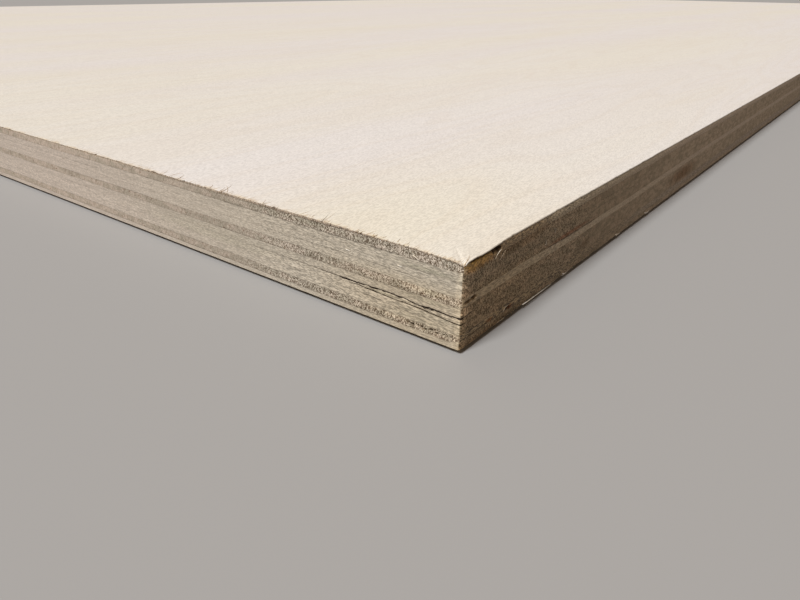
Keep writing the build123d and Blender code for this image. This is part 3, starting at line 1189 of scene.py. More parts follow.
# %% [markdown]
# ## Stains
#
# A stain is a soft-edged patch at a given place: brown where glue or bark soaked in, orange where resin
# did. The place and size are in metres on the sheet. Noise pushes its edge about so it never looks like
# an airbrushed oval.

# %% The stain group
EDGE_FINENESS, MIDDLE_OF_NOISE = 900.0, (0.5, 0.5, 0.5)

stain, given, result = new_group(
    "stain",
    {
        "Centre": ORIGIN, "Size": ("Vector", (1, 1, 1)),
        "Raggedness": ("Float", 0.45), "Full Within": ("Float", 0.1),
    },
    {"Mask": "Float"},
)
where = on_sheet(stain)
push = noise(stain, where, EDGE_FINENESS, detail=2.0, output="Color")
push = vectors(stain, "SUBTRACT", push, MIDDLE_OF_NOISE)
amount = place(stain, "CombineXYZ", {i: given["Raggedness"] for i in range(3)}).outputs[0]
reach = vectors(stain, "DIVIDE", vectors(stain, "SUBTRACT", where, given["Centre"]), given["Size"])
reach = vectors(stain, "ADD", reach, vectors(stain, "MULTIPLY", push, amount))
distance = vectors(stain, "LENGTH", reach, output="Value")
put_out(stain, result, Mask=spread(stain, distance, 1.0, given["Full Within"]))

# %% [markdown]
# ## Glue and painted shade in hollows
#
# The mesh carries two numbers at each point: the darkness of the glue line and the depth below the sawn
# surface. This group reads them, breaks them up a little with noise and multiplies them into the colour.
# The depth is painted shade: the deeper a point lies, the darker it is painted. The glue line's colour is
# dark glue, and also painted shade where the line is open.

# %% The hollow and glue group
GLUE_FINENESS, GLUE_PATCHES, GLUE_LEAST = 1400.0, (0.25, 0.6), 0.45
# Sunk points are painted darker: painted shade in hollows, pits and cracks.
SUNK_SHADE_SHARE, SUNK_SHADE_TINT = 0.93, (0.16, 0.11, 0.075, 1)

hollows, given, result = new_group(
    "glue and painted shade of hollows",
    {"Colour": ("Color", (1, 1, 1, 1)), "Glue": ("Color", (0.045, 0.028, 0.018, 1))},
    {"Colour": "Color"},
)
glue_here = place(hollows, "Attribute", attribute_name="glue_line_and_gap_shade").outputs["Fac"]
sunk_shade_here = place(hollows, "Attribute", attribute_name="sunk").outputs["Fac"]
break_up = spread(hollows, noise(hollows, on_sheet(hollows), GLUE_FINENESS), *GLUE_PATCHES, GLUE_LEAST, 1.0)
glue_and_gap_shade_share = sums(hollows, "MINIMUM", sums(hollows, "MULTIPLY", glue_here, break_up), 1.0)
sunk_shade_share = sums(hollows, "MULTIPLY", sunk_shade_here, SUNK_SHADE_SHARE)
glued = blend(hollows, glue_and_gap_shade_share, given["Colour"], given["Glue"])
put_out(hollows, result, Colour=tinted(hollows, sunk_shade_share, glued, SUNK_SHADE_TINT))

# %% [markdown]
# ## Wear of handling, and a painted highlight on the arris
#
# The corner is what gets knocked and gripped. Along its upright arris the fibres are bruised and paler, and
# the paler strip is also a painted highlight where the rounded arris catches the light. For a hand's width
# around it the edges are a little dirtier than the rest, and low down, where it stood in the damp, the wood
# has yellowed. All of it depends only on the place, so one group serves every veneer.

# %% The handling group
BRUISE_AND_HIGHLIGHT_FINENESS, BRUISE_AND_HIGHLIGHT_RAGGED, BRUISE_AND_HIGHLIGHT_RANGE = 1300.0, 0.0022, (0.0034, 0.0016)
SOIL_RANGE, YELLOW_RANGE, YELLOW_HEIGHTS = (0.16, 0.015), (0.045, 0.012), (0.0135, 0.0095)

handling, given, result = new_group(
    "wear of handling and arris highlight", {"Corner": ORIGIN}, {"Bruised": "Float", "Soiled": "Float", "Yellowed": "Float"}
)
where = on_sheet(handling)
from_corner = vectors(handling, "SUBTRACT", where, given["Corner"])
height = place(handling, "SeparateXYZ", {0: from_corner}).outputs["Z"]
reach = vectors(handling, "LENGTH", vectors(handling, "MULTIPLY", from_corner, (1, 1, 0)), output="Value")
patchy = noise(handling, where, BRUISE_AND_HIGHLIGHT_FINENESS, detail=2.0)
ragged_reach = sums(handling, "MULTIPLY_ADD", patchy, BRUISE_AND_HIGHLIGHT_RAGGED, reach)
low_down = spread(handling, height, *YELLOW_HEIGHTS)
# The paler strip along the upright arris is bruised fibres and a painted highlight on the rounded arris.
put_out(
    handling, result,
    Bruised=spread(handling, ragged_reach, *BRUISE_AND_HIGHLIGHT_RANGE),
    Soiled=spread(handling, reach, *SOIL_RANGE),
    Yellowed=sums(handling, "MULTIPLY", spread(handling, reach, *YELLOW_RANGE), low_down),
)

# %% [markdown]
# ## The frayed rim
#
# Where the face ends at the short edge, its fibres are torn off at different lengths. Seen from above they
# are short thin strokes along the grain, dense at the rim and gone a few millimetres in. A noise that is
# squeezed into strokes gives them, if a value that grows with the distance from the rim is taken away from
# it. The last millimetre is also warmer, because light shines through the thin torn edge.

# %% The rim group
STROKE_SIZE, PALE_SHIFT, CLUMP_SIZE = (120, 2400, 0), (40, 40, 0), (0, 110, 0)
DARK_FADE, PALE_FADE, DARK_CLUMPED = -42.0, -30.0, 0.05
DARK_RANGE, PALE_RANGE, CLUMP_RANGE = (0.58, 0.67), (0.54, 0.64), (0.4, 0.6)
GLOW_RAGGED, GLOW_RANGE = -0.0016, (0.0007, -0.0008)

rim, given, result = new_group(
    "frayed rim", {"Corner": ORIGIN}, {"Glow": "Float", "Dark Strokes": "Float", "Pale Strokes": "Float"}
)
where = on_sheet(rim)
inward = place(rim, "SeparateXYZ", {0: vectors(rim, "SUBTRACT", where, given["Corner"])}).outputs["X"]
strokes_at = vectors(rim, "MULTIPLY", where, STROKE_SIZE)
dark_strokes = noise(rim, strokes_at)
pale_strokes = noise(rim, vectors(rim, "ADD", strokes_at, PALE_SHIFT))
clumped = spread(rim, noise(rim, vectors(rim, "MULTIPLY", where, CLUMP_SIZE)), *CLUMP_RANGE)
dark_left = sums(rim, "MULTIPLY_ADD", inward, DARK_FADE, dark_strokes)
dark_left = sums(rim, "MULTIPLY_ADD", clumped, DARK_CLUMPED, dark_left)
pale_left = sums(rim, "MULTIPLY_ADD", inward, PALE_FADE, pale_strokes)
glow_reach = sums(rim, "MULTIPLY_ADD", dark_strokes, GLOW_RAGGED, inward)
put_out(
    rim, result,
    Glow=sums(rim, "MULTIPLY", spread(rim, glow_reach, *GLOW_RANGE), clumped),
    Dark_Strokes=spread(rim, dark_left, *DARK_RANGE),
    Pale_Strokes=spread(rim, pale_left, *PALE_RANGE),
)

# %% [markdown]
# ## The finish of the inner veneers
#
# One function makes the finish of any inner veneer: long-grain colours, end-grain colours and a choice
# between them by how the wood is cut. Tone shifts a veneer lighter or darker as a whole, and liveliness
# makes its grit stronger or weaker, because two veneers are never from the same part of the log. Both the
# grit and the speckle are strong only near the corner: from far away they would turn into a shimmer.

# %% Colours of the inner veneers
LONG_LIGHT, LONG_DARK, LONG_LINE = (0.575, 0.49, 0.41, 1), (0.47, 0.395, 0.323, 1), (0.25, 0.19, 0.135, 1)
FLECK, CROSS_TINT, PORE = (0.78, 0.70, 0.60, 1), (0.90, 0.83, 0.72, 1), (0.6, 0.52, 0.44, 1)
END_LIGHT, END_DARK = (0.78, 0.672, 0.55, 1), (0.165, 0.117, 0.078, 1)
CORE_END_LIGHT, CORE_END_DARK = (0.58, 0.47, 0.345, 1), (0.145, 0.113, 0.075, 1)
REDDISH, OLIVE = (1.015, 0.99, 0.99, 1), (0.99, 1.0, 0.975, 1)
# The bruise tint lightens the upright arris: bruised fibres and a painted highlight.
BRUISED_AND_LIT, YELLOWED = (1.16, 1.14, 1.10, 1), (1.0, 0.955, 0.88, 1)
SOILED, SOILED_CROSS_END = (0.93, 0.965, 0.915, 1), (0.84, 0.865, 0.86, 1)
SOILED_CORE_END = (0.73, 0.71, 0.66, 1)
print("long grain from", LONG_DARK[:3], "to", LONG_LIGHT[:3])

# %% Looks of the inner veneers
FLECK_SHARE, LINE_SHARE, CHECK_SHARE, MIDDLE = 0.5, 0.6, 0.3, 0.5


def into(tree, value, low, high):
    """Moves a value from the range 0 to 1 into another range."""
    return spread(tree, value, 0.0, 1.0, low, high)


def swing(tree, value, depth, middle):
    """Makes a value swing about a middle, as far as a depth says."""
    return sums(tree, "MULTIPLY_ADD", sums(tree, "SUBTRACT", value, MIDDLE), depth, middle)


def long_grain(tree, grain, coarse):
    """Colour of wood that is cut along its fibres."""
    wood = blend(tree, grain["Streaks"], LONG_DARK, LONG_LIGHT)
    wood = blend(tree, sums(tree, "MULTIPLY", grain["Flecks"], FLECK_SHARE), wood, FLECK)
    wood = blend(tree, sums(tree, "MULTIPLY", grain["Lines"], LINE_SHARE), wood, LONG_LINE)
    return times(tree, wood, CROSS_TINT) if coarse else wood


def end_grain(tree, open_ends, crisp, coarse):
    """Colour of wood that is cut across its fibres. Crisp says how strong its speckle is."""
    dark, light = (END_DARK, END_LIGHT) if coarse else (CORE_END_DARK, CORE_END_LIGHT)
    wood = blend(tree, swing(tree, open_ends["Speckle"], crisp, MIDDLE), dark, light)
    wood = blend(tree, sums(tree, "MULTIPLY", open_ends["Checks"], CHECK_SHARE), wood, dark)
    wood = tinted(tree, open_ends["Pores"], wood, PORE)
    return times(tree, wood, blend(tree, open_ends["Patches"], OLIVE, REDDISH))


print("two looks:", long_grain.__name__, "and", end_grain.__name__)

# %% Places on the worn edges
STAIN_DEPTH = 1.5


def at(around, height, depth=0.0):
    """A place on the worn edges in metres, from a distance round the corner and a height in millimetres."""
    x = WORN_CORNER[0] + max(around, 0) + (depth if around < 0 else 0)
    y = WORN_CORNER[1] + max(-around, 0) + (depth if around > 0 else 0)
    return (x * MM, y * MM, height * MM)


def patch(around, height, length, tall, full_within=0.1, depth=STAIN_DEPTH, raggedness=0.45):
    """Inputs of a stain on a worn edge: its centre and size, the share that is evenly stained, its edge."""
    size = (length, depth, tall) if around > 0 else (depth, length, tall)
    size = tuple(s * MM for s in size)
    return {"Centre": at(around, height), "Size": size, "Full_Within": full_within, "Raggedness": raggedness}


print("the corner's foot is at", [round(c, 4) for c in at(0, 0)])

# %% Direction and surface
def squeezed(node, lengthwise, sideways):
    """How much a pattern is squeezed in x, y and z to run along a veneer's grain."""
    if node in GRAIN_ALONG_X:
        return (lengthwise, sideways, sideways)
    return (sideways, lengthwise, sideways)


def surface(tree, shader, wood, roughness, sheen, height, bump, bump_depth):
    """Connects a material's colour, with its glue and the painted shade of its hollows, its roughness and a
    fine bump.
    """
    normal = place(tree, "Bump", {"Strength": bump, "Distance": bump_depth, "Height": height})
    feed(tree, shader["Base Color"], use(tree, hollows, Colour=wood)["Colour"])
    feed(tree, shader["Roughness"], roughness)
    feed(tree, shader["Normal"], normal.outputs["Normal"])
    shader["Specular IOR Level"].default_value = sheen


print("a pattern three times as long as wide:", squeezed(FACE, 1, 3))

# %% Wear and stains
def worn_stained_and_painted_light(tree, wood, crosscut, handled, coarse, stains_and_shade):
    """Soils, yellows and bruises the wood near the corner, paints a highlight on its arris, and lays its
    patches of stain and painted shade over it.
    """
    soil = blend(tree, crosscut, SOILED, SOILED_CROSS_END if coarse else SOILED_CORE_END)
    wear = ((handled["Soiled"], soil), (handled["Yellowed"], YELLOWED), (handled["Bruised"], BRUISED_AND_LIT))
    for share, tint in wear:
        wood = tinted(tree, share, wood, tint)
    for spot, tint, strength in stains_and_shade:
        mark = use(tree, stain, **spot)["Mask"]
        wood = tinted(tree, sums(tree, "MULTIPLY", mark, strength), wood, tint)
    return wood


print("bruised wood is lighter by", BRUISED_AND_LIT[:3], "and soiled wood is darker by", SOILED[:3])

# %% Veneer finish
ALONG, ACROSS, GRIT_SHORT, GRIT_FINE = 90.0, 1700.0, 12.0, 3.2
SHIFT_STEPS, CLOSE_FROM = (3.7, 1.9, 5.3), 0.65
GRIT_FAR, GRIT_NEAR, CRISP_FAR, CRISP_NEAR = 0.32, 0.68, 0.22, 1.3
SHADES, CROSS_MOTTLE, CORE_MOTTLE = (0.94, 1.05), (0.9, 1.08), (0.84, 1.12)
LONG_ROUGHNESS, END_ROUGHNESS, WOOD_SHEEN = 0.62, 0.9, 0.25
WOOD_BUMP, WOOD_BUMP_DEPTH = 0.5, 0.00007
PLAIN_LIVELINESS = (0.9, 1.0)
LIVELINESS = {
    "back_veneer": (0.6, 1.0), "lower_crossband": (2.4, 1.0), "lower_core_bottom": (1.1, 1.0),
    "lower_core_middle": (1.1, 1.0), "centre_crossband": (1.1, 0.8), "upper_crossband": (1.8, 0.95),
}


def veneer_finish(node, tone, end_tone, stains_and_shade):
    """The material of one inner veneer: how light its long grain and its end grain are, and its patches of
    stain and painted shade.
    """
    finish, tree, shader = new_finish(node.replace("_", " "))
    coarse = "crossband" in node
    lively, lively_ends = LIVELINESS.get(node, PLAIN_LIVELINESS)
    shift = tuple(stack.index(node) * step for step in SHIFT_STEPS)
    crosscut = use(tree, cut, Grain=squeezed(node, 1, 0))["Across Fibres"]
    squeeze, grit_squeeze = squeezed(node, ALONG, ACROSS), squeezed(node, GRIT_SHORT, GRIT_FINE)
    grain = use(tree, fibres, Squeeze=squeeze, Shift=shift, Grit_Squeeze=grit_squeeze)
    open_ends = use(tree, ends, Shift=shift)
    handled = use(tree, handling, Corner=at(0, 0))
    close = spread(tree, handled["Soiled"], CLOSE_FROM, 1.0)

    crisp = into(tree, close, CRISP_FAR, CRISP_NEAR * lively_ends)
    end_wood = end_grain(tree, open_ends, crisp, coarse)
    wood = blend(tree, crosscut, long_grain(tree, grain, coarse), end_wood)
    grit_depth = into(tree, close, GRIT_FAR * lively, GRIT_NEAR * lively)
    shade = into(tree, grain["Tone"], *SHADES)
    shade = sums(tree, "MULTIPLY", shade, swing(tree, grain["Grit"], grit_depth, 1.0))
    mottle = into(tree, open_ends["Patches"], *(CROSS_MOTTLE if coarse else CORE_MOTTLE))
    brightness = either(tree, crosscut, shade, mottle)
    brightness = sums(tree, "MULTIPLY", brightness, either(tree, crosscut, tone, end_tone))
    wood = times(tree, wood, grey(tree, brightness))
    wood = worn_stained_and_painted_light(tree, wood, crosscut, handled, coarse, stains_and_shade)

    roughness = either(tree, crosscut, LONG_ROUGHNESS, END_ROUGHNESS)
    height = either(tree, crosscut, grain["Streaks"], open_ends["Speckle"])
    surface(tree, shader, wood, roughness, WOOD_SHEEN, height, WOOD_BUMP, WOOD_BUMP_DEPTH)
    return finish


print("veneers with a liveliness of their own:", ", ".join(LIVELINESS))

# %% [markdown]
# The stains are what tells this sheet from any other. Where a stain crosses a glue line it lies on two
# veneers, and both get the same patch. Two patches are painted shade, not stains: a darker band under the
# face's rim on the long edge, and a darker foot of the long edge near the corner. The six core veneers are
# also rubbed pale along the long edge, just round the corner.

# %% Tints of the stains and of painted shade
BROWN_TINT, ORANGE_TINT, RED_TINT = (0.58, 0.46, 0.36, 1), (1.10, 0.62, 0.20, 1), (0.78, 0.46, 0.36, 1)
GOLDEN_TINT, GOLDEN_CORE_TINT, PALE_TINT = (1.2, 0.88, 0.40, 1), (1.55, 1.22, 0.75, 1), (1.3, 1.3, 1.28, 1)
DULL_TINT, FOOT_SHADE_TINT, FACE_RIM_SHADE_TINT = (0.76, 0.68, 0.58, 1), (0.68, 0.64, 0.58, 1), (0.62, 0.66, 0.62, 1)
WEATHERED_TINT, MUTED_TINT, YELLOW_TINT = (0.78, 0.80, 0.80, 1), (0.84, 0.86, 0.82, 1), (0.88, 0.82, 0.72, 1)
CLEAN_TINT, WORN_TINT = (1.22, 1.22, 1.18, 1), (1.5, 1.5, 1.55, 1)
print("brown is", BROWN_TINT[:3], "and orange is", ORANGE_TINT[:3])

# %% Stains and painted shade of each veneer
WORN_EDGE, WEATHERED = patch(1.3, 10.0, 1.7, 8.5, 0.1, 0.6), patch(-6, 5.0, 12, 1.1, 0.3)
GOLDEN_PATCH, DULL_PATCH = patch(5.4, 16.6, 8.0, 2.2, 0.4, 0.6, 0.9), patch(22, 16.4, 16, 3.0, 0.5)
# The patch at the top of the long edge near the corner is painted shade under the overhanging rim of the
# face.
SHADE_UNDER_FACE_RIM = patch(5, 17.6, 9, 1.2, 0.5, 0.7, 0.6)
KNOT, SMALL_KNOT = patch(137, 5.5, 22, 4.0), patch(56, 4.6, 4.5, 2.0)
EDGE_STAINS_AND_SHADE = {
    "upper_crossband": (
        (DULL_PATCH, DULL_TINT, 1.0), (GOLDEN_PATCH, GOLDEN_TINT, 1.0), (SHADE_UNDER_FACE_RIM, FACE_RIM_SHADE_TINT, 1.0),
        (patch(-40, 16.7, 25, 0.8), MUTED_TINT, 0.6), (patch(-130, 17.7, 80, 0.9), PALE_TINT, 0.8),
        (patch(75, 17.6, 60, 0.6), MUTED_TINT, 0.9),
    ),
    "upper_core_top": (
        (DULL_PATCH, DULL_TINT, 0.8), (GOLDEN_PATCH, GOLDEN_CORE_TINT, 1.0),
        (patch(-0.3, 15.7, 1.0, 0.8), PALE_TINT, 1.0), (patch(-8, 14.3, 10, 0.9), MUTED_TINT, 0.9),
    ),
    "upper_core_bottom": ((patch(46, 10.4, 16, 0.8), RED_TINT, 0.8),),
    "centre_crossband": ((patch(-8, 10.2, 8, 1.1, 0.4), CLEAN_TINT, 1.0),),
    "lower_core_top": (
        (patch(137, 5.5, 20, 4.0), BROWN_TINT, 1.0), (patch(-75, 7.6, 40, 1.8), MUTED_TINT, 0.5),
        (patch(-8, 8.2, 8, 0.8), MUTED_TINT, 0.6),
    ),
    "lower_core_middle": (
        (KNOT, BROWN_TINT, 1.0), (SMALL_KNOT, BROWN_TINT, 0.5), (WEATHERED, WEATHERED_TINT, 0.6),
        (patch(-75, 6.2, 40, 2.0), MUTED_TINT, 0.6), (patch(-18, 6.55, 8, 0.4), MUTED_TINT, 1.0),
    ),
    "lower_core_bottom": (
        (SMALL_KNOT, BROWN_TINT, 0.5), (KNOT, BROWN_TINT, 1.0), (WEATHERED, WEATHERED_TINT, 0.6),
        (patch(-9, 3.5, 14, 1.1), MUTED_TINT, 0.3),
    ),
    "lower_crossband": (
        (patch(45, 2.4, 60, 2.0, 0.5), YELLOW_TINT, 1.0),
        (patch(10.5, 2.3, 2.4, 0.5), ORANGE_TINT, 0.9), (patch(18.5, 1.9, 2.6, 0.9), RED_TINT, 0.9),
        (patch(-2.9, 1.75, 0.7, 0.3), PALE_TINT, 0.8), (patch(-12.2, 2.2, 0.7, 0.3), PALE_TINT, 0.8),
        (patch(-16, 2.6, 10, 0.9, 0.3), CLEAN_TINT, 0.7),
    ),
    "back_veneer": (
        # The darker foot of the long edge near the corner is painted shade, as if the floor bounced less
        # light onto it.
        (patch(12, 0.0, 26, 1.5, 0.3), FOOT_SHADE_TINT, 1.0), (patch(-0.2, 0.4, 0.8, 0.5), PALE_TINT, 1.0),
    ),
}
print("stains:", sum(len(stains_and_shade) for stains_and_shade in EDGE_STAINS_AND_SHADE.values()))

# %% Dress the inner veneers
TONES = {
    "back_veneer": (1.01, 0.99), "lower_crossband": (0.60, 0.96), "lower_core_bottom": (1.0, 1.0),
    "lower_core_middle": (1.02, 1.0), "lower_core_top": (0.97, 1.02), "centre_crossband": (0.87, 0.95),
    "upper_core_bottom": (1.0, 1.02), "upper_core_middle": (1.0, 1.04), "upper_core_top": (0.98, 1.04),
    "upper_crossband": (0.81, 0.98),
}
SLOT_OF = {node: "crossband" if "crossband" in node else "core" for node in stack}
SLOT_OF.update({"face_veneer": "face", "back_veneer": "back"})


def dress(node, finish):
    """Gives a veneer its finish."""
    veneers[node].data.materials.append(finish)


for node, (tone, end_tone) in TONES.items():
    worn = ((WORN_EDGE, WORN_TINT, 1.0),) if SLOT_OF[node] == "core" else ()
    dress(node, veneer_finish(node, tone, end_tone, worn + EDGE_STAINS_AND_SHADE.get(node, ())))
print("dressed:", ", ".join(TONES))

# %% [markdown]
# ## The finish of the face
#
# The face was sanded: smooth, very pale and almost one colour. What little there is matters: the faint
# long loops that a peeled log leaves, a slight change from cream to pink, hair-thin darker pores along the
# grain, the tooth of the sanded fibres, and a warmer rim where the torn fibres end. The loops are drawn as
# the contour lines of a broad noise, which is what they are in the wood: a curved surface cut flat.

# %% Colour of the sanded wood
FACE_CREAM, FACE_PINK, FACE_LINE = (0.835, 0.795, 0.705, 1), (0.825, 0.785, 0.75, 1), (0.70, 0.58, 0.44, 1)
LOOPS, LOOP_SHARE, BROAD_SHARE, STREAK_SHARE, HAIRLINE_SHARE = 55.0, 0.09, 0.10, 0.10, 0.14


def sanded_wood(tree, grain, broad):
    """Colour of the sanded face, without its rim: cream to pink, with loops, streaks and hairlines."""
    pale = blend(tree, spread(tree, broad["Tone"], 0.0, 1.0), FACE_CREAM, FACE_PINK)
    loops = sums(tree, "SINE", sums(tree, "MULTIPLY", broad["Tone"], LOOPS))
    for share in (
        sums(tree, "MULTIPLY", broad["Streaks"], BROAD_SHARE),
        into(tree, loops, 0.0, LOOP_SHARE),
        sums(tree, "MULTIPLY", grain["Streaks"], STREAK_SHARE),
        sums(tree, "MULTIPLY", grain["Lines"], HAIRLINE_SHARE),
    ):
        pale = blend(tree, share, pale, FACE_LINE)
    return pale


print("the face goes from", FACE_CREAM[:3], "to", FACE_PINK[:3])

# %% Face finish
FACE_END_LIGHT, FACE_END_DARK = (0.50, 0.40, 0.30, 1), (0.20, 0.155, 0.115, 1)
RIM_GLOW, RIM_DARK, RIM_PALE = (0.98, 0.89, 0.74, 1), (0.50, 0.37, 0.24, 1), (0.93, 0.88, 0.80, 1)
RIM_DARK_SHARE, RIM_PALE_SHARE = 0.75, 0.6
CORNER_WARMTH, WARM_SIZE, WARM_RAGGED = (1.0, 0.98, 0.91, 1), (0.09, 0.09, 0.09), 0.1
FINE = {"Squeeze": (34.0, 800.0, 800.0), "Shift": (9, 4, 2)}
TOOTH = {"Squeeze": (230.0, 1550.0, 1550.0), "Shift": (6, 2, 7), "Grit_Squeeze": (5.0, 3.0, 3.0)}
BROAD = {"Squeeze": (1.3, 9.0, 0.0), "Shift": (3, 8, 5)}
END_SHIFT, TOOTH_RANGE = (4, 7, 1), (0.90, 1.09)
FACE_ROUGHNESS, FACE_SHEEN, FACE_BUMP, FACE_BUMP_DEPTH = (0.5, 0.62), 0.3, 0.35, 0.00005


def face_finish():
    """The material of the sanded face."""
    finish, tree, shader = new_finish("sanded face")
    top_of_corner = at(0, levels[-1])
    grain = use(tree, fibres, **FINE)
    tooth = use(tree, fibres, **TOOTH)["Grit"]
    pale = sanded_wood(tree, grain, use(tree, fibres, **BROAD))
    warm = use(tree, stain, Centre=top_of_corner, Size=WARM_SIZE, Raggedness=WARM_RAGGED)["Mask"]
    pale = tinted(tree, warm, pale, CORNER_WARMTH)
    pale = times(tree, pale, grey(tree, into(tree, tooth, *TOOTH_RANGE)))
    frayed = use(tree, rim, Corner=top_of_corner)
    pale = tinted(tree, frayed["Glow"], pale, RIM_GLOW)
    pale = blend(tree, sums(tree, "MULTIPLY", frayed["Dark Strokes"], RIM_DARK_SHARE), pale, RIM_DARK)
    pale = blend(tree, sums(tree, "MULTIPLY", frayed["Pale Strokes"], RIM_PALE_SHARE), pale, RIM_PALE)
    end_wood = blend(tree, use(tree, ends, Shift=END_SHIFT)["Speckle"], FACE_END_DARK, FACE_END_LIGHT)
    wood = blend(tree, use(tree, cut, Grain=(1, 0, 0))["Across Fibres"], pale, end_wood)
    roughness = into(tree, grain["Streaks"], *FACE_ROUGHNESS)
    surface(tree, shader, wood, roughness, FACE_SHEEN, grain["Streaks"], FACE_BUMP, FACE_BUMP_DEPTH)
    return finish


dress(FACE, face_finish())
print("face dressed")

# %% [markdown]
# ## Loose fibres
#
# What a saw tears but does not take away stays as splinters: whiskers along the rim of the face, a few
# curled fibres on the edges and a fringe under the long edge. Each is a thin closed stick along a bent
# line, thick at its root and thin at its tip. Hair particles would do for a brush, but here each fibre has
# its own place, and a joined mesh of sticks keeps that place wherever the sheet is used.

# %% Bent lines
STICK_STEPS, MOST_PROUD = 7, 0.29


def bent(roots, bends, tips):
    """Curved lines from roots to tips, drawn towards the bends, as rows of points."""
    roots, bends, tips = (np.asarray(values, float)[:, None] for values in (roots, bends, tips))
    t = np.linspace(0, 1, STICK_STEPS)[None, :, None]
    return roots * (1 - t) ** 2 + bends * 2 * t * (1 - t) + tips * t**2


def off_the_wall(lines, radii):
    """Turns distance round the corner, height and proudness into x, y and z from the worn corner."""
    around, height, proud = np.moveaxis(lines, -1, 0)
    proud = np.minimum(proud, MOST_PROUD - np.asarray(radii)[:, None])
    x = np.maximum(around, 0) - proud * (around < 0)
    y = np.maximum(-around, 0) - proud * (around >= 0)
    return np.stack([x, y, height], axis=-1)


print("points along each fibre:", STICK_STEPS)

# %% Sticks along the lines
STICK_SIDES, TIP_SHARE, ANY_WAY = 4, 0.3, (0.31, 0.47, 0.83)


def sticks(name, lines, radii, finish, slot):
    """One mesh of fibres that follow lines of x, y and z from the worn corner."""
    ahead = np.gradient(lines, axis=1)
    ahead /= np.linalg.norm(ahead, axis=-1, keepdims=True)
    across = np.cross(ahead, ANY_WAY)
    across /= np.linalg.norm(across, axis=-1, keepdims=True)
    over = np.cross(ahead, across)
    turn = np.linspace(0, 2 * math.pi, STICK_SIDES + 1)[:-1, None]
    ring = across[:, :, None] * np.cos(turn) + over[:, :, None] * np.sin(turn)
    taper = 1 - (1 - TIP_SHARE) * np.linspace(0, 1, STICK_STEPS)
    thick = np.asarray(radii)[:, None] * taper
    places = (lines[:, :, None] + ring * thick[..., None, None]).reshape(-1, 3)
    places += np.array(WORN_CORNER)
    places[:, 2] = np.clip(places[:, 2], levels[0], levels[-1])

    count = STICK_STEPS * STICK_SIDES
    first = np.arange(STICK_SIDES)
    one = [ring_faces(k, k + STICK_SIDES, STICK_SIDES) for k in range(0, count - STICK_SIDES, STICK_SIDES)]
    one = np.concatenate([*one, first[None, ::-1], (count - STICK_SIDES + first)[None]])
    quads = (one[None] + count * np.arange(len(lines))[:, None, None]).reshape(-1, STICK_SIDES)
    piece = put_in_scene(name, mesh_from_arrays(name, places, quads, [], []))
    piece.data.materials.append(finish)
    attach(piece, "root")
    print(name, len(quads), "faces")
    return piece


print("faces of one fibre:", (STICK_STEPS - 1) * STICK_SIDES + 2)

# %% [markdown]
# The smallest fibres stand in rows. They are too many to place one by one, so each draws its own place,
# length and lean from the net of fixed numbers.

# %% Numbers for rows of fibres
DRAWS, GATHER = 6, 1.7


def draws(count, seed):
    """Six fixed random numbers for each of a count of fibres."""
    number = np.arange(count)
    return [net_number(number, number * 0 + k, seed) for k in range(DRAWS)]


def gathered(draw):
    """Places from 0 to 1 that come closer together near 0, where the corner is."""
    return ((np.arange(len(draw)) + draw) / len(draw)) ** GATHER


print("each fibre draws", DRAWS, "numbers")

# %% Whiskers on the wall
HALFWAY, THINNEST, THICKER, BEND_ASIDE = 0.5, 0.03, 0.03, 0.3
SHORTEST, ROOT_SWAY, SIDE_SWAY, BEND_DOWN, LEAST_FALL = 0.4, 0.12, 1.6, 0.2, 0.2
LEAST_PROUD, MORE_PROUD, TIP_PROUD = 0.12, 0.16, 0.5


def fringe(first, last, count, root_height, drop, length, seed):
    """Lines and radii of fibres that hang on the wall."""
    place_draw, high, long, side, fall, out = draws(count, seed)
    around = first + (last - first) * gathered(place_draw)
    height = root_height + ROOT_SWAY * (high - HALFWAY)
    size = length * (SHORTEST + long**2)
    sideways = size * (side - HALFWAY) * SIDE_SWAY
    down = -drop * size * (LEAST_FALL + fall)
    proud = LEAST_PROUD + MORE_PROUD * out
    roots = np.stack([around, height, 0 * around], axis=1)
    bends = np.stack([around + BEND_ASIDE * sideways, height + BEND_DOWN * down, proud], axis=1)
    tips = np.stack([around + sideways, height + down, TIP_PROUD * proud], axis=1)
    radii = THINNEST + THICKER * long
    return off_the_wall(bent(roots, bends, tips), radii), radii


print("whiskers stand out by", LEAST_PROUD, "to", LEAST_PROUD + MORE_PROUD, "mm")

# %% Whiskers over the rim
RIM_START, LEAN_SHORTEST, LEAN_LONGER, LEAN_SWAY, LEAN_RISE = 0.5, 0.5, 2.2, 0.9, 0.3
ROOT_IN, ROOT_OUT, ROOT_DEPTH, TOP_GAP, TIP_FALL, LEAN_THINNEST = 0.1, 0.2, 0.12, 0.05, 0.06, 0.035


def over_the_rim(last, count, seed):
    """Lines and radii of fibres that stand on the face's short rim and lean in over the face."""
    place_draw, long, side, fall, out, thick = draws(count, seed)
    y = RIM_START + last * gathered(place_draw)
    size = LEAN_SHORTEST + LEAN_LONGER * long**3
    sideways = size * (side - HALFWAY) * LEAN_SWAY
    root_height = levels[-1] - FACE_DROP + along(FACE_SAG, -y) - ROOT_DEPTH
    top = levels[-1] - TOP_GAP
    roots = np.stack([ROOT_IN - ROOT_OUT * out, y, root_height], axis=1)
    bends = np.stack([LEAN_RISE * size, y + BEND_ASIDE * sideways, np.full_like(y, top)], axis=1)
    tips = np.stack([size, y + sideways, top - TIP_FALL * fall], axis=1)
    return bent(roots, bends, tips), LEAN_THINNEST + THICKER * thick


print("leaning whiskers are up to", LEAN_SHORTEST + LEAN_LONGER, "mm long")

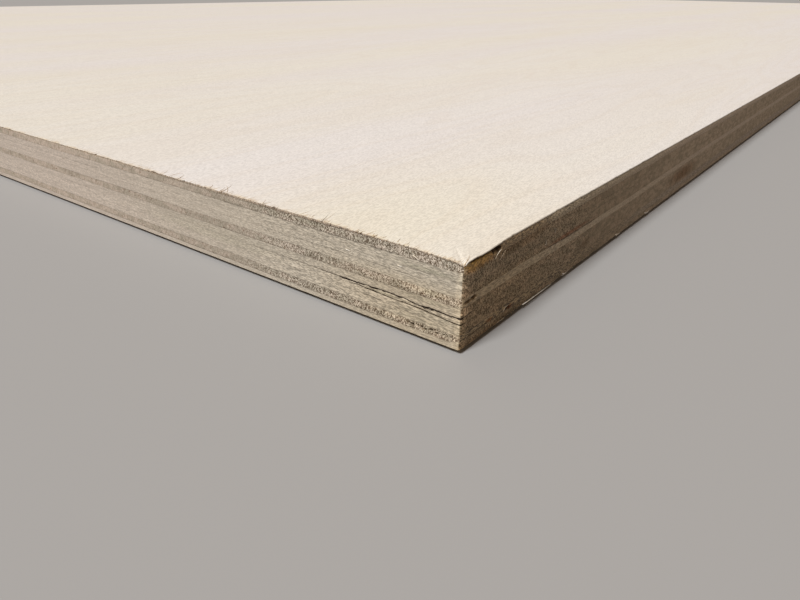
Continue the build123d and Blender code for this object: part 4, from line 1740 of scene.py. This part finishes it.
# %% Finish of the loose fibres
STRAW, BRIGHT_AND_PAINTED_LIT = (0.78, 0.68, 0.53, 1), (0.92, 0.88, 0.80, 1)
TAN, RUST = (0.55, 0.42, 0.28, 1), (0.50, 0.33, 0.17, 1)
FIBRE_PATCH, FIBRE_RANGE, FIBRE_ROUGHNESS = 900.0, (0.35, 0.6), 0.7


def fibre_finish(name, light, dark):
    """Two colours that change from fibre to fibre."""
    finish, tree, shader = new_finish(name)
    change = spread(tree, noise(tree, on_sheet(tree), FIBRE_PATCH), *FIBRE_RANGE)
    feed(tree, shader["Base Color"], blend(tree, change, light, dark))
    shader["Roughness"].default_value = FIBRE_ROUGHNESS
    return finish


straw_finish = fibre_finish("loose fibres", STRAW, TAN)
bright_and_painted_lit_finish = fibre_finish("bright and painted lit fibres", BRIGHT_AND_PAINTED_LIT, STRAW)
rust_finish = fibre_finish("rust-coloured fibres", TAN, RUST)
print("fibre finishes:", straw_finish.name, bright_and_painted_lit_finish.name, rust_finish.name)

# %% [markdown]
# The largest fibres are placed one by one, as they stand on the real sheet. Each row of a table gives a
# root, a bend and a tip, and then the fibre's radius. On the edges a point is a distance round the
# corner, a height and how far it stands out. On the face it is x, y and z from the worn corner.

# %% Place the single fibres on the edges
ON_SHORT_EDGE = (
    ((-11.0, 16.5, 0.1), (-10.4, 16.25, 0.28), (-9.6, 15.85, 0.24), 0.13),
    ((-43.3, 17.4, 0.1), (-44.0, 17.1, 0.24), (-44.2, 16.3, 0.26), 0.10),
    ((-14.7, 13.55, 0.05), (-14.2, 13.5, 0.2), (-13.6, 13.45, 0.05), 0.12),
    ((-27.9, 13.4, 0.05), (-27.2, 13.4, 0.2), (-26.6, 13.35, 0.05), 0.11),
)
ON_LONG_EDGE = (
    ((12.9, 16.45, 0.1), (11.4, 16.3, 0.28), (10.8, 15.2, 0.24), 0.10),
    ((14.9, 15.65, 0.0), (13.6, 15.4, 0.24), (12.6, 14.35, 0.16), 0.055),
    ((16.2, 1.85, 0.0), (16.3, 3.1, 0.24), (18.8, 2.5, 0.0), 0.08),
)
UNDER_LONG_EDGE = (
    ((24.6, 0.12, 0.1), (31.0, 0.0, 0.6), (38.2, 0.1, 0.4), 0.12),
    ((44.6, 0.45, 0.0), (45.4, 0.1, 0.4), (46.6, 0.20, 0.2), 0.10),
    ((45.2, 0.35, 0.0), (45.0, 0.1, 0.4), (44.2, 0.12, 0.2), 0.07),
    ((78.0, 0.55, 0.0), (79.0, 0.1, 0.4), (81.0, 0.30, 0.2), 0.12),
    ((79.0, 0.45, 0.0), (79.4, 0.1, 0.4), (78.2, 0.15, 0.2), 0.09),
    ((101.5, 0.60, 0.0), (103.0, 0.1, 0.4), (105.5, 0.35, 0.2), 0.12),
)
ON_EDGES = (
    ("short_edge_fibres", ON_SHORT_EDGE, bright_and_painted_lit_finish, "core"),
    ("long_edge_fibres", ON_LONG_EDGE, straw_finish, "core"),
    # The splinters under the long edge lie in the sheet's shade, so their bright finish is painted light.
    ("underside_splinters", UNDER_LONG_EDGE, bright_and_painted_lit_finish, "back"),
)
for name, rows, finish, slot in ON_EDGES:
    *corners_of_lines, radii = zip(*rows)
    sticks(name, off_the_wall(bent(*corners_of_lines), radii), radii, finish, slot)
    print("fibres in it:", len(rows))

# %% Place the single fibres on the face
ON_FACE = (
    ((-0.1, 0.0, 17.15), (1.9, 0.5, 17.9), (3.8, 1.3, 17.94), 0.055),
    ((0.3, 0.2, 17.3), (1.8, 0.4, 17.9), (3.3, 0.9, 17.94), 0.045),
    ((0.2, 34.3, 17.75), (2.4, 34.5, 17.97), (5.5, 35.7, 17.96), 0.045),
    ((0.0, 33.4, 17.75), (0.5, 34.4, 17.97), (1.5, 34.3, 17.96), 0.045),
    ((-0.1, 20.2, 17.6), (0.6, 20.3, 17.97), (1.3, 20.8, 17.95), 0.05),
    ((-0.1, 21.0, 17.6), (0.6, 21.1, 17.97), (1.3, 21.5, 17.95), 0.05),
    ((0.0, 24.8, 17.65), (0.5, 25.0, 17.97), (1.2, 25.6, 17.95), 0.045),
    ((0.0, 15.1, 17.6), (1.0, 15.3, 17.97), (2.1, 15.9, 17.95), 0.045),
    ((0.1, 52.6, 17.7), (1.2, 52.9, 17.98), (2.6, 54.0, 17.95), 0.045),
    ((0.3, 66.5, 17.75), (2.4, 67.0, 17.98), (4.8, 68.5, 17.95), 0.05),
    ((0.1, 83.4, 17.7), (1.4, 83.6, 17.98), (2.8, 84.6, 17.95), 0.05),
    ((0.0, 64.6, 17.7), (1.9, 66.0, 17.98), (3.7, 69.2, 17.95), 0.05),
    ((0.0, 67.5, 17.7), (1.2, 67.0, 17.98), (2.6, 68.4, 17.95), 0.045),
    ((0.0, 71.2, 17.7), (1.5, 71.0, 17.98), (2.2, 72.6, 17.95), 0.045),
    ((0.0, 87.0, 17.7), (1.6, 87.4, 17.98), (3.9, 86.4, 17.95), 0.05),
    ((0.0, 90.2, 17.7), (1.6, 90.0, 17.98), (3.0, 91.8, 17.95), 0.05),
)
*corners_of_lines, radii = zip(*ON_FACE)
sticks("face_splinters", bent(*corners_of_lines), radii, rust_finish, "face")
print("fibres in it:", len(ON_FACE))

# %% Place the rows of whiskers
rim_row = fringe(first=-1.0, last=-190.0, count=170, root_height=17.62, drop=0.5, length=0.75, seed=701)
leaning_row = over_the_rim(last=150.0, count=70, seed=703)
foot_row = fringe(first=14.0, last=190.0, count=60, root_height=0.2, drop=0.15, length=0.9, seed=702)
sticks("rim_whiskers", *rim_row, straw_finish, "face")
sticks("leaning_whiskers", *leaning_row, straw_finish, "face")
sticks("foot_whiskers", *foot_row, straw_finish, "back")
print("whiskers:", sum(len(radii) for _, radii in (rim_row, leaning_row, foot_row)))

# %% Print the sizes
low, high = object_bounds()
print("sheet from", [round(c, 5) for c in low], "to", [round(c, 5) for c in high])
